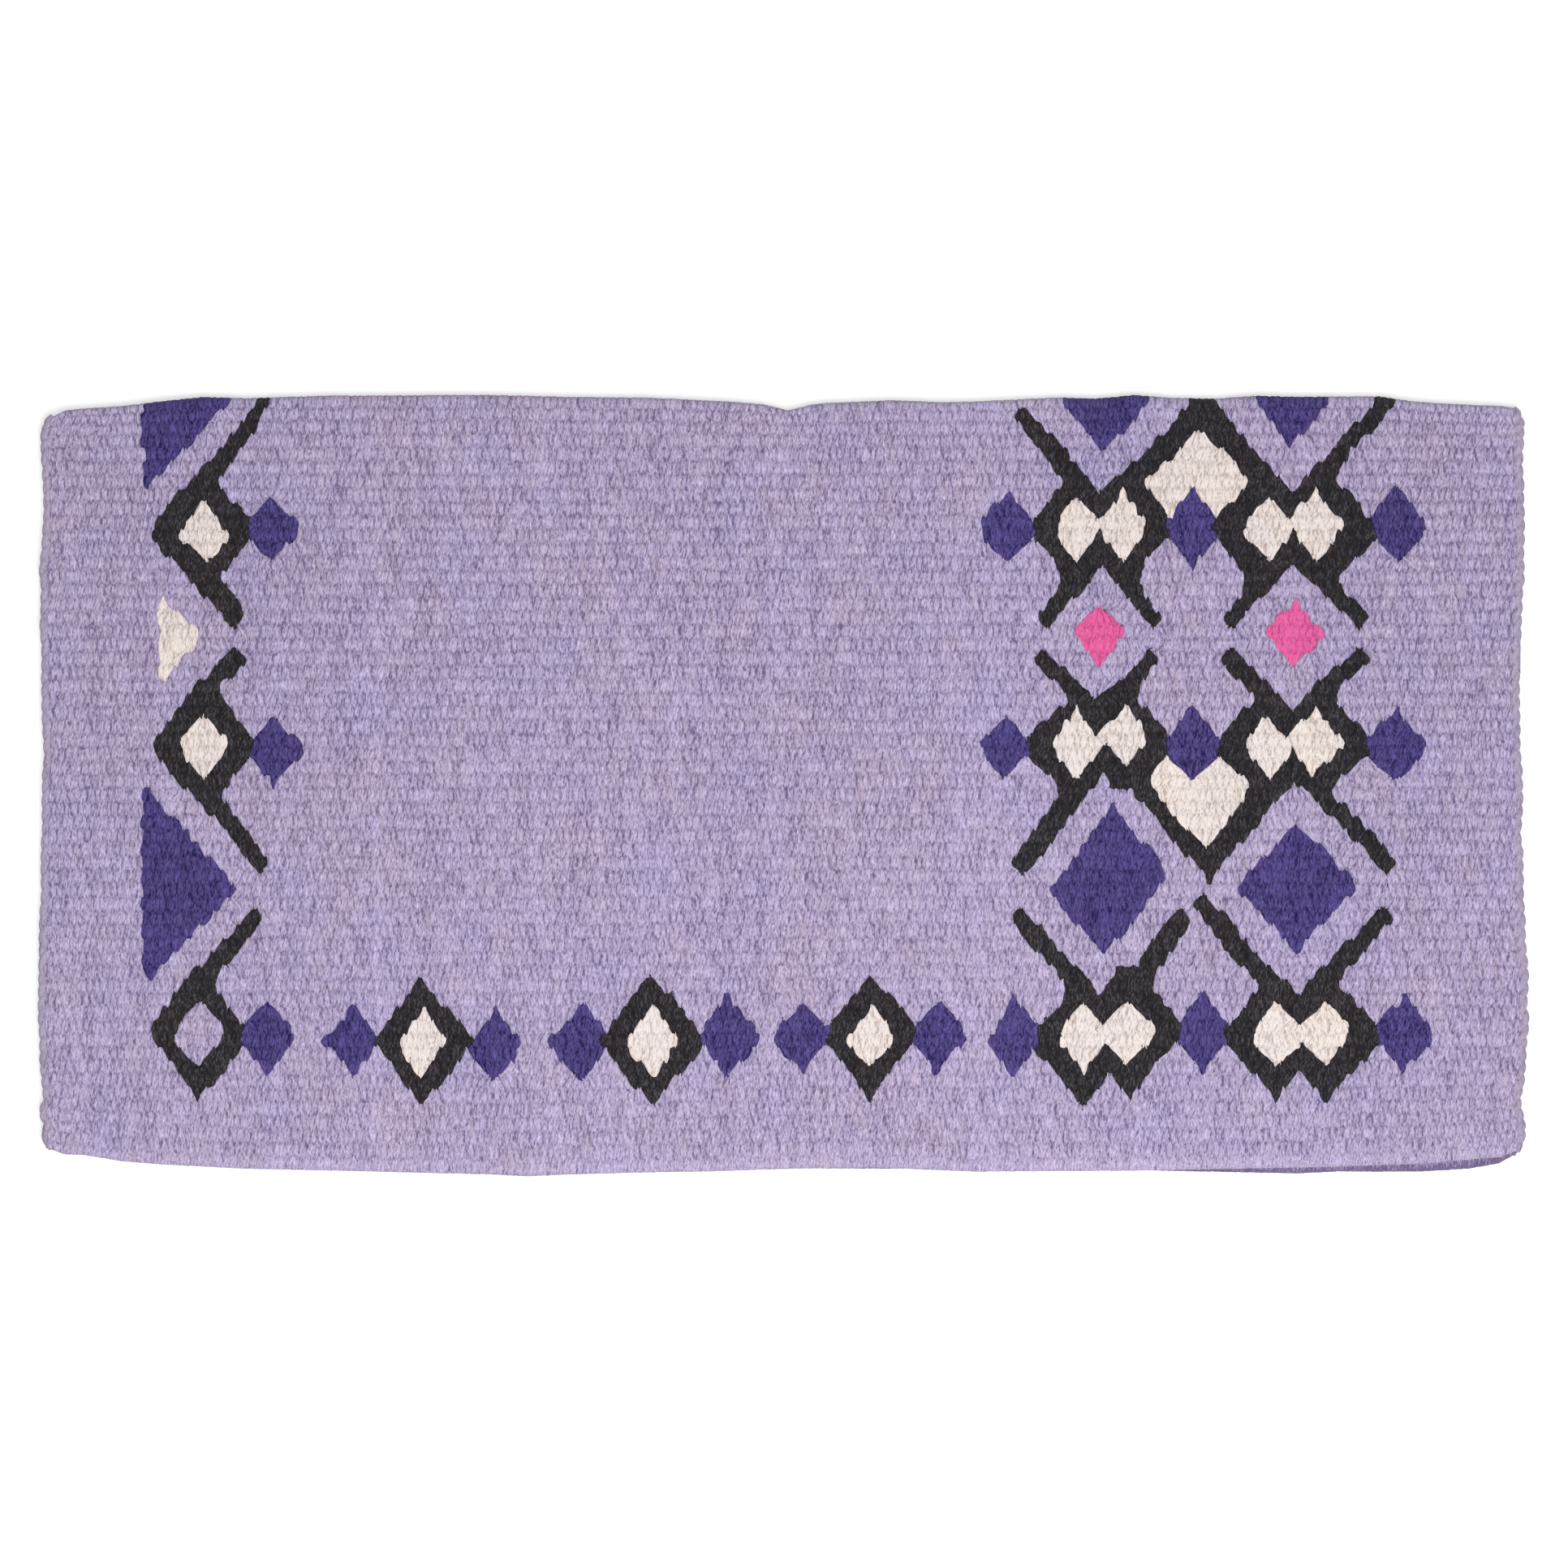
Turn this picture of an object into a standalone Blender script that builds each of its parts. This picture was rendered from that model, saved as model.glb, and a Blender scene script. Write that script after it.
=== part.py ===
"""A woven wool saddle blanket, folded in half over its spine with the near side on top.

The cloth is tapestry woven. Its ribs run along the spine, and each coloured figure is woven with
its own yarn, so it fills a stepped opening in the ground. The off side lies on the floor. The
cloth folds at one groove between ribs, which is the hinge: its line lies between the two sides,
where their inner faces meet, so the sides lie flat both closed and open.

Along a rib, places are counted in floats, the single passes of yarn over the warp. Across the
cloth they are counted in ribs, from the fold down to the hem.
"""

import math

import bmesh
import bpy
import numpy
from mathutils import Matrix

# Driving sizes
WIDTH = 0.864
DROP = 0.452
THICKNESS = 0.0068
EDGE_CORD = 0.0055
HEM_CORNER = 0.012
EDGE_ROUND = 0.0022
FOLD_FLAT = 0.0004
FOLD_WEB = 0.001
CLEARANCE = 0.0003

# Counts of the weave
FLOATS = 223
RIBS = 57

# Roundness and cutting
CORNER_SEGMENTS = 4
RIM_SEGMENTS = 2
ROUND_PROFILE = 0.5
CORD_SEGMENTS = 2
CORD_STEPS = 5
CORD_TURN = math.radians(45)
SHARP_EDGE = math.radians(40)
CUTTER_OVERRUN = 0.004
MERGE_DISTANCE = CLEARANCE / 100

FLOAT = WIDTH / FLOATS
RIB = DROP / RIBS
GROUND_HALF = WIDTH / 2 - EDGE_CORD - CLEARANCE
FOLD_GAP = CLEARANCE / 2
FOLD_ROUND = (THICKNESS - FOLD_FLAT) / 2
FIRST_OPENING = FOLD_GAP + FOLD_ROUND + FOLD_WEB
HINGE_TO_LAYER = (THICKNESS + CLEARANCE) / 2

LAVENDER = ("lavender_wool", (0.413, 0.347, 0.521), 0.95)
VIOLET = ("violet_wool", (0.070, 0.050, 0.184), 0.95)
BLACK = ("black_wool", (0.021, 0.018, 0.021), 0.95)
IVORY = ("ivory_wool", (0.791, 0.708, 0.679), 0.95)
PINK = ("pink_wool", (0.730, 0.117, 0.337), 0.95)

# The draft: shapes in floats from the left end and ribs down from the fold
ARM_SHARE = 3.2
TIP_SHARE = 0.3
MIDDLE_SHARE = -0.5


def diamond(across, down, half_width, half_height):
    """The floats that an upright diamond covers in the rib at a given depth."""

    def span(depth):
        reach = half_width * (1 - abs(depth - down) / half_height)
        return (across - reach, across + reach) if reach > TIP_SHARE else None

    return span


def half_diamond(across, down, width, half_height):
    """The same, for a diamond cut off square at its left."""

    def span(depth):
        reach = width * (1 - abs(depth - down) / half_height)
        return (across, across + reach) if reach > TIP_SHARE else None

    return span


def band(start, end, width=ARM_SHARE):
    """The same, for a slanted band of even width."""

    def span(depth):
        if not min(start[1], end[1]) <= depth <= max(start[1], end[1]):
            return None
        middle = start[0] + (end[0] - start[0]) * (depth - start[1]) / (end[1] - start[1])
        return middle - width / 2, middle + width / 2

    return span


def outline(*points):
    """The same, for a closed outline that each rib crosses once."""

    def span(depth):
        crossings = [
            across + (next_across - across) * (depth - down) / (next_down - down)
            for (across, down), (next_across, next_down) in zip(points, points[1:] + points[:1])
            if min(down, next_down) <= depth <= max(down, next_down) and down != next_down
        ]
        return (min(crossings), max(crossings)) if crossings else None

    return span


def arms(*ends):
    """Bands from each first place to each second one."""
    return [band(*pair) for pair in ends]


DRAFT_SHARES = {
    "left_fold_triangle": (VIOLET, [half_diamond(15.4, MIDDLE_SHARE, 14.6, 7.8)]),
    "left_upper_hook": (
        BLACK,
        [diamond(24.3, 10.2, 8.5, 4.5)]
        + arms([(35.1, -0.6), (25, 6.9)], [(25.6, 13.8), (30.6, 17.4)]),
    ),
    "left_upper_lozenge": (IVORY, [diamond(24.6, 10.3, 4.3, 2.2)]),
    "left_upper_diamond": (VIOLET, [diamond(34.8, 9.9, 4.5, 2.7)]),
    "left_ivory_triangle": (IVORY, [half_diamond(17.9, 18, 6.8, 3.1)]),
    "left_middle_hook": (
        BLACK,
        [diamond(24.4, 25.8, 8.1, 4.9)]
        + arms([(29.4, 19.2), (24.2, 22.6)], [(25.2, 29), (34.4, 35.4)]),
    ),
    "left_middle_lozenge": (IVORY, [diamond(25.2, 25.9, 4.3, 2.3)]),
    "left_middle_diamond": (VIOLET, [diamond(35.4, 26.1, 4.4, 2.4)]),
    "left_large_triangle": (VIOLET, [half_diamond(15.7, 36.2, 14, 7.2)]),
    "left_lower_hook": (
        BLACK,
        [diamond(23.7, 47, 7.9, 5)] + arms([(33.4, 37.6), (23.6, 43.5)]),
    ),
    "left_lower_lozenge": (LAVENDER, [diamond(23.7, 47, 4.5, 2.6)]),
    "left_lower_diamond": (VIOLET, [diamond(34, 47.3, 4.2, 2.8)]),
    "hem_diamond_1": (VIOLET, [diamond(46.8, 47.5, 4.4, 2.8)]),
    "hem_ring_1": (BLACK, [diamond(57.4, 47.7, 7.6, 4.8)]),
    "hem_lozenge_1": (IVORY, [diamond(57.4, 47.6, 3.6, 2.7)]),
    "hem_diamond_2": (VIOLET, [diamond(68.4, 47.9, 4.4, 3)]),
    "hem_diamond_3": (VIOLET, [diamond(80.8, 47.6, 4.5, 2.9)]),
    "hem_ring_2": (BLACK, [diamond(91.9, 47.4, 8.2, 5)]),
    "hem_lozenge_2": (IVORY, [diamond(91.8, 47.6, 4.4, 2.6)]),
    "hem_diamond_4": (VIOLET, [diamond(103, 46.9, 4.4, 3)]),
    "hem_diamond_5": (VIOLET, [diamond(114.4, 47.2, 5.1, 2.6)]),
    "hem_ring_3": (BLACK, [diamond(125, 47.2, 7.7, 4.7)]),
    "hem_lozenge_3": (IVORY, [diamond(124.7, 47.3, 3.6, 2.7)]),
    "hem_diamond_6": (VIOLET, [diamond(134.9, 47.1, 4.6, 2.5)]),
    "fold_diamond_1": (VIOLET, [diamond(159.8, MIDDLE_SHARE, 8.3, 4.9)]),
    "fold_diamond_2": (VIOLET, [diamond(187.6, MIDDLE_SHARE, 7.2, 4.5)]),
    "upper_lattice": (
        BLACK,
        [
            outline((174.5, -1), (187, 7.6), (161, 7.6)),
            diamond(155.2, 9.9, 6.7, 4.9),
            diamond(163.4, 9.6, 7.4, 4),
            diamond(183.6, 10, 8.2, 4.8),
            diamond(193.5, 10, 8.8, 4),
        ]
        + arms(
            [(146.6, 0.7), (157.3, 7.6)],
            [(174.6, 0.7), (160.1, 7.7)],
            [(174.4, 0.5), (187.3, 8)],
            [(202.2, 0.4), (189.4, 7.5)],
            [(158.5, 12.5), (149.9, 16.9)],
            [(160.8, 11.7), (167.8, 17.2)],
            [(186.2, 11.7), (177.6, 17.4)],
            [(189.4, 12.5), (199.8, 17.2)],
        ),
    ),
    "upper_chevron": (
        IVORY,
        [outline((174.3, 2.6), (182, 6.4), (177, 9), (169.5, 9), (165.8, 6.5))],
    ),
    "upper_pair_1": (
        IVORY,
        [diamond(155.5, 9.9, 3.4, 2.5), diamond(162.7, 9.9, 3.7, 2.6), band((159.2, 9), (159.2, 10.8))],
    ),
    "upper_pair_2": (
        IVORY,
        [diamond(184.4, 10, 4.2, 2.4), diamond(191.3, 9.6, 4.4, 2.4), band((188.2, 9), (188.2, 10))],
    ),
    "upper_diamond_1": (VIOLET, [diamond(145.1, 9.9, 5.1, 2.6)]),
    "upper_diamond_2": (VIOLET, [diamond(172.9, 9.9, 4.1, 3.2)]),
    "upper_diamond_3": (VIOLET, [diamond(203.9, 9.6, 4.5, 3.1)]),
    "pink_diamond_1": (PINK, [diamond(158.9, 17.6, 3.6, 2.2)]),
    "pink_diamond_2": (PINK, [diamond(188.2, 17.9, 5, 2.7)]),
    "middle_lattice": (
        BLACK,
        [
            diamond(155.6, 25.9, 9.1, 3.8),
            diamond(163.1, 25.4, 6.8, 4.3),
            diamond(183.8, 25.7, 7.8, 4.1),
            diamond(192.8, 25.7, 8.4, 4.1),
            outline((166, 26), (184, 26), (186, 28.6), (175.3, 36), (161.7, 28.6)),
            band((158.5, 21.6), (159.3, 24), 8),
        ]
        + arms(
            [(149.4, 19.2), (158.9, 23.1)],
            [(168.2, 18.7), (159.4, 23.5)],
            [(178.3, 19), (186.8, 23.5)],
            [(198.7, 19.2), (188.2, 23.5)],
            [(157.5, 27.8), (146.3, 35.3)],
            [(161.3, 27.7), (174.8, 34.5)],
            [(187, 28.5), (174.6, 35.3)],
            [(190.5, 28.5), (203.8, 35.3)],
        ),
    ),
    "middle_pair_1": (
        IVORY,
        [diamond(155.8, 25.8, 4.3, 2.7), diamond(162.7, 25, 3.6, 2.4), band((158.8, 24), (159.6, 25))],
    ),
    "middle_pair_2": (
        IVORY,
        [diamond(184.4, 25.9, 4, 2.4), diamond(191.6, 25.5, 4.9, 2.2), band((188.1, 25), (188.1, 26))],
    ),
    "middle_heart": (
        IVORY,
        [outline((168.1, 27.3), (179.1, 27.5), (181.4, 29.1), (174.6, 33.4), (166.1, 28.3))],
    ),
    "middle_diamond_1": (VIOLET, [diamond(144.8, 26, 4.6, 2.4)]),
    "middle_diamond_2": (VIOLET, [diamond(173, 25.7, 4.7, 2.9)]),
    "middle_diamond_3": (VIOLET, [diamond(203.5, 25.7, 5, 2.7)]),
    "large_diamond_1": (
        VIOLET,
        [outline((160.4, 30.7), (169.6, 35.3), (159.9, 41.1), (151.3, 36.6))],
    ),
    "large_diamond_2": (VIOLET, [diamond(188.7, 36.2, 9.3, 4.8)]),
    "lower_lattice_1": (
        BLACK,
        [diamond(156.2, 47.5, 7.9, 4.8), diamond(163.3, 46.6, 8.8, 5)]
        + arms([(145, 37.6), (158.6, 45)], [(172.3, 37.7), (160.4, 45.7)]),
    ),
    "lower_lattice_2": (
        BLACK,
        [diamond(185.3, 47, 8.3, 4.9), diamond(193.1, 47.2, 9, 4.7)]
        + arms([(174.3, 36.9), (187.7, 45.4)], [(202.6, 37.9), (189.1, 44.7)]),
    ),
    "lower_pair_1": (
        IVORY,
        [diamond(156.6, 47.2, 3.8, 2.3), diamond(163.6, 46.9, 4.5, 2.5), band((160.2, 46.2), (160.2, 48))],
    ),
    "lower_pair_2": (
        IVORY,
        [diamond(185.5, 47.2, 4.2, 2.1), diamond(192.7, 46.9, 4.7, 2.2), band((189, 47), (189, 48))],
    ),
    "lower_diamond_1": (VIOLET, [diamond(146.1, 47.2, 4.1, 2.8)]),
    "lower_diamond_2": (VIOLET, [diamond(174.5, 46.9, 3.8, 3.2)]),
    "lower_diamond_3": (VIOLET, [diamond(204.9, 46.9, 5.2, 2.9)]),
}


def weave():
    """The draft woven rib by rib: the figure's number in each half float, with 0 for the ground.

    The floats of every second rib stand half a float aside, from the fold's own rib on, so a
    slanted edge climbs in steps.
    """
    cells = numpy.zeros((RIBS, 2 * FLOATS), int)
    for number, (_, shapes) in enumerate(DRAFT_SHARES.values(), 1):
        for rib in range(RIBS):
            aside = (rib + 1) % 2 / 2
            for shape in shapes:
                span = shape(rib + 1 / 2)
                if span:
                    first = round(span[0] - aside) + aside
                    last = max(round(span[1] - aside) + aside, first + 1)
                    cells[rib, int(2 * first) : int(2 * last)] = number
    return cells


def edges_round(cells):
    """Each border edge of the marked cells, as start to ends, with the cells on its left."""
    marked = numpy.pad(cells, 1)
    edges = {}
    for row, column in numpy.argwhere(marked):
        low, high, left, right = row - 1, row, column - 1, column
        sides = (
            (marked[row - 1, column], (left, low), (right, low)),
            (marked[row, column + 1], (right, low), (right, high)),
            (marked[row + 1, column], (right, high), (left, high)),
            (marked[row, column - 1], (left, high), (left, low)),
        )
        for neighbour, start, end in sides:
            if not neighbour:
                edges.setdefault(start, []).append(end)
    return edges


def corners_round(cells, inward):
    """The closed borders of the marked cells, as lists of (column, row, step across, step down).

    Each step points inward, towards the marked cells. Where two cells meet only at a corner, the
    border keeps them apart if inward is 1, and joins them if it is -1.
    """
    edges = edges_round(cells)
    borders = []
    while edges:
        here = min(edges, key=lambda place: len(edges[place]))
        border = []
        while here in edges:
            ends = edges[here]
            if border and len(ends) > 1:
                ends.sort(key=lambda end: inward * turn(border[-1][1], step(here, end)))
            end = ends.pop()
            if not ends:
                del edges[here]
            border.append((here, step(here, end)))
            here = end
        borders.append(turning_corners(border))
    return borders


def step(start, end):
    return end[0] - start[0], end[1] - start[1]


def turn(first, second):
    """1 where the second step turns left of the first one, -1 where it turns right."""
    return first[0] * second[1] - first[1] * second[0]


def turning_corners(border):
    """The corners where a border changes direction, each with the step towards its cells."""
    corners = []
    for (_, before), (place, after) in zip(border[-1:] + border[:-1], border):
        if before != after:
            across = -before[1] - after[1]
            down = before[0] + after[0]
            corners.append((*place, across, down))
    return corners


def place(corner, offset):
    """A corner of the draft on the cloth, moved towards its cells by the offset."""
    column, row, across, down = corner
    y = row * RIB if row else FIRST_OPENING
    return column * FLOAT / 2 - WIDTH / 2 + across * offset, y + down * offset


def collection(name, hidden=False):
    made = bpy.data.collections.new(name)
    made.hide_render = hidden
    bpy.context.scene.collection.children.link(made)
    return made


def material(name, colour, roughness):
    made = bpy.data.materials.get(name)
    if made:
        return made
    made = bpy.data.materials.new(name)
    made.use_nodes = True
    shader = made.node_tree.nodes["Principled BSDF"]
    shader.inputs["Base Color"].default_value = (*colour, 1)
    shader.inputs["Roughness"].default_value = roughness
    shader.inputs["Metallic"].default_value = 0
    made.diffuse_color = (*colour, 1)
    return made


def add(name, data, wool, parent, group, layer):
    """One sub-part in its parent's frame: layer is 1 on the off side and -1 on the near side."""
    made = bpy.data.objects.new(name, data)
    made.parent = parent
    made.location = (0, 0, layer * HINGE_TO_LAYER)
    if wool:
        data.materials.append(material(*wool))
    group.objects.link(made)
    return made


def flat_curve(name, borders, offset, half_thickness):
    """Borders of the draft as one flat outline, filled and extruded."""
    curve = bpy.data.curves.new(name, "CURVE")
    curve.dimensions = "2D"
    curve.fill_mode = "BOTH"
    curve.extrude = half_thickness
    for border in borders:
        spline = curve.splines.new("POLY")
        spline.points.add(len(border) - 1)
        for point, corner in zip(spline.points, border):
            point.co = (*place(corner, offset), 0, 1)
        spline.use_cyclic_u = True
    return curve


def openings_cutter(cells, parent, group):
    """A solid of every figure together, slightly larger, that cuts the ground's openings."""
    borders = corners_round(cells > 0, -1)
    curve = flat_curve("figure_openings", borders, -CLEARANCE / 2, THICKNESS / 2 + CUTTER_OVERRUN)
    source = bpy.data.objects.new("openings_curve", curve)
    group.objects.link(source)
    bpy.context.view_layer.update()
    graph = bpy.context.evaluated_depsgraph_get()
    mesh = bpy.data.meshes.new_from_object(source.evaluated_get(graph))
    bpy.data.objects.remove(source)
    bpy.data.curves.remove(curve)
    shape = bmesh.new()
    shape.from_mesh(mesh)
    bmesh.ops.remove_doubles(shape, verts=shape.verts, dist=MERGE_DISTANCE)
    bmesh.ops.recalc_face_normals(shape, faces=shape.faces)
    shape.to_mesh(mesh)
    shape.free()
    cutter = add("figure_openings", mesh, None, parent, group, -1)
    cutter.hide_render = True
    cutter.display_type = "WIRE"
    return cutter


def side_mesh(name):
    """One side of the cloth: a thin slab with a round rib at its fold and rounded hem corners."""
    length = DROP - FOLD_GAP
    size = Matrix.Diagonal((2 * GROUND_HALF, length, THICKNESS, 1))
    shape = bmesh.new()
    middle = Matrix.Translation((0, FOLD_GAP + length / 2, 0))
    bmesh.ops.create_cube(shape, size=1, matrix=middle @ size)
    hem_corners = [edge for edge in shape.edges if span(edge).z and lowest(edge) > length / 2]
    bevel(shape, hem_corners, HEM_CORNER)
    fold_edges = [edge for edge in shape.edges if span(edge).x and lowest(edge) < length / 2]
    bevel(shape, fold_edges, FOLD_ROUND)
    fold_line = FOLD_GAP + FOLD_ROUND + MERGE_DISTANCE
    rim = [
        edge
        for edge in shape.edges
        if highest(edge) > fold_line and edge.verts[0].co.z * edge.verts[1].co.z > 0
    ]
    bevel(shape, rim, EDGE_ROUND, RIM_SEGMENTS)
    return finished(name, shape)


def span(edge):
    return edge.verts[1].co - edge.verts[0].co


def lowest(edge):
    return min(vert.co.y for vert in edge.verts)


def highest(edge):
    return max(vert.co.y for vert in edge.verts)


def bevel(shape, edges, width, segments=CORNER_SEGMENTS):
    bmesh.ops.bevel(
        shape,
        geom=edges,
        offset=width,
        segments=segments,
        profile=ROUND_PROFILE,
        affect="EDGES",
    )


def finished(name, shape):
    mesh = bpy.data.meshes.new(name)
    shape.to_mesh(mesh)
    shape.free()
    mesh.shade_smooth()
    mesh.set_sharp_from_angle(angle=SHARP_EDGE)
    return mesh


def cord_turn_radius():
    return HEM_CORNER + CLEARANCE + EDGE_CORD / 2


def hem_reach():
    """How far the hem, or a cord's end at its corner, lies from the fold."""
    cord_end = cord_turn_radius() * math.sin(CORD_TURN) + EDGE_CORD / 2 * math.cos(CORD_TURN)
    return DROP + max(0, cord_end - HEM_CORNER)


def cord_curve(name, side):
    """The cord twined along a cut end, turned a little round the hem's corner."""
    radius = cord_turn_radius()
    centre_across = GROUND_HALF - HEM_CORNER
    centre_down = DROP - HEM_CORNER
    points = [(centre_across + radius, FOLD_GAP)]
    for count in range(CORD_STEPS + 1):
        angle = CORD_TURN * count / CORD_STEPS
        across = centre_across + radius * math.cos(angle)
        points.append((across, centre_down + radius * math.sin(angle)))
    curve = bpy.data.curves.new(name, "CURVE")
    curve.dimensions = "3D"
    curve.bevel_depth = EDGE_CORD / 2
    curve.bevel_resolution = CORD_SEGMENTS
    curve.use_fill_caps = True
    spline = curve.splines.new("POLY")
    spline.points.add(len(points) - 1)
    for point, (across, down) in zip(spline.points, points):
        point.co = (side * across, down, 0, 1)
    return curve


def frame(name, place, group):
    """An empty whose X axis is the hinge line, with Y down the cloth to the hem."""
    made = bpy.data.objects.new(name, None)
    made.empty_display_size = RIB
    made.location = place
    made.rotation_euler = (math.pi, 0, 0)
    group.objects.link(made)
    return made


def side(prefix, parent, group, layer):
    """One side's ground and its two edge cords."""
    name = f"{prefix}_ground"
    ground = add(name, side_mesh(name), LAVENDER, parent, group, layer)
    for end, sign in (("left", -1), ("right", 1)):
        name = f"{prefix}_{end}_edge_cord"
        add(name, cord_curve(name, sign), LAVENDER, parent, group, layer)
    return ground


def main():
    for item in list(bpy.data.objects):
        bpy.data.objects.remove(item)
    parts = collection("saddle_blanket")
    cutters = collection("cutters", hidden=True)

    hinge_place = (0, (hem_reach() + FOLD_GAP) / 2, THICKNESS + FOLD_GAP)
    off_frame = frame("off_side_frame", hinge_place, parts)
    near_frame = frame("fold_hinge", hinge_place, parts)
    side("off", off_frame, parts, 1)
    ground = side("near", near_frame, parts, -1)

    cells = weave()
    cut = ground.modifiers.new("openings", "BOOLEAN")
    cut.operation = "DIFFERENCE"
    cut.object = openings_cutter(cells, near_frame, cutters)
    for number, (name, (wool, _)) in enumerate(DRAFT_SHARES.items(), 1):
        borders = corners_round(cells == number, 1)
        curve = flat_curve(name, borders, CLEARANCE / 2, THICKNESS / 2)
        add(name, curve, wool, near_frame, parts, -1)
    bpy.context.view_layer.update()


main()
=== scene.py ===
"""The looks of the woven wool saddle blanket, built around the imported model.

Every float of the weave is a raised stroke of yarn on a fine net of points. The net's lines follow
the floats, so a figure's edge climbs in the same rounded steps as the real one. The net is cut
into the ground and its figures, each a closed piece with both faces of the cloth.
"""

import math

import bpy
import numpy
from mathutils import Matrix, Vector


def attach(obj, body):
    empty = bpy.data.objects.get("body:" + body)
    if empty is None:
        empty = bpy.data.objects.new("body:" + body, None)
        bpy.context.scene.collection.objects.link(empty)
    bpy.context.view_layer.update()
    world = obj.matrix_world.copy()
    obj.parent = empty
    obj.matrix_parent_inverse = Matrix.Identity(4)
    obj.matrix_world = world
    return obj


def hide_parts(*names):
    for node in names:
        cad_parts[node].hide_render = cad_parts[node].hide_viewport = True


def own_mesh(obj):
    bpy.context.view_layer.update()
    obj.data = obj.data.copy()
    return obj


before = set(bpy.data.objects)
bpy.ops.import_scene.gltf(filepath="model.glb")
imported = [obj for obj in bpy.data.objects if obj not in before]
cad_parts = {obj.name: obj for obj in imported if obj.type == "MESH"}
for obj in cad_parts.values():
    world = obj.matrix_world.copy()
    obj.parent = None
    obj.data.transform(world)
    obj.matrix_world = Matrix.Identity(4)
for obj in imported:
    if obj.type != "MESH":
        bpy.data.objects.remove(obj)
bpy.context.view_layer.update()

# The cloth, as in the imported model
WIDTH = 0.864
DROP = 0.452
THICKNESS = 0.0068
CLEARANCE = 0.0003
HINGE = (0, 0.2263682, 0.00695)
FLOATS = 223
RIBS = 57
FLOAT = WIDTH / FLOATS
RIB = DROP / RIBS

# Each wool's name and colour
LAVENDER = ("lavender_wool", (0.413, 0.347, 0.521))
VIOLET = ("violet_wool", (0.070, 0.050, 0.184))
BLACK = ("black_wool", (0.021, 0.018, 0.021))
IVORY = ("ivory_wool", (0.791, 0.708, 0.679))
PINK = ("pink_wool", (0.730, 0.117, 0.337))
CORD = ("cord_wool", (0.40, 0.345, 0.47))

# The draft: shapes in floats from the left end and ribs down from the fold, fitted to the photo
ARM_SHARE = 3.2
TIP_SHARE = 0.3
MIDDLE_SHARE = -0.5


def diamond(across, down, half_width, half_height, left=1):
    """The floats that an upright diamond covers in the rib at a given depth."""

    def span(depth):
        reach = half_width * (1 - abs(depth - down) / half_height)
        return (across - left * reach, across + reach) if reach > TIP_SHARE else None

    return span


def half_diamond(*measures):
    """The same, for a diamond cut off square at its left."""
    return diamond(*measures, left=0)


def band(start, end, width=ARM_SHARE):
    """The same, for a slanted band of even width."""

    def span(depth):
        if not min(start[1], end[1]) <= depth <= max(start[1], end[1]):
            return None
        middle = start[0] + (end[0] - start[0]) * (depth - start[1]) / (end[1] - start[1])
        return middle - width / 2, middle + width / 2

    return span


def outline(*points):
    """The same, for a closed outline that each rib crosses once."""

    def span(depth):
        crossings = [
            across + (next_across - across) * (depth - down) / (next_down - down)
            for (across, down), (next_across, next_down) in zip(points, points[1:] + points[:1])
            if min(down, next_down) <= depth <= max(down, next_down) and down != next_down
        ]
        return (min(crossings), max(crossings)) if crossings else None

    return span


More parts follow.
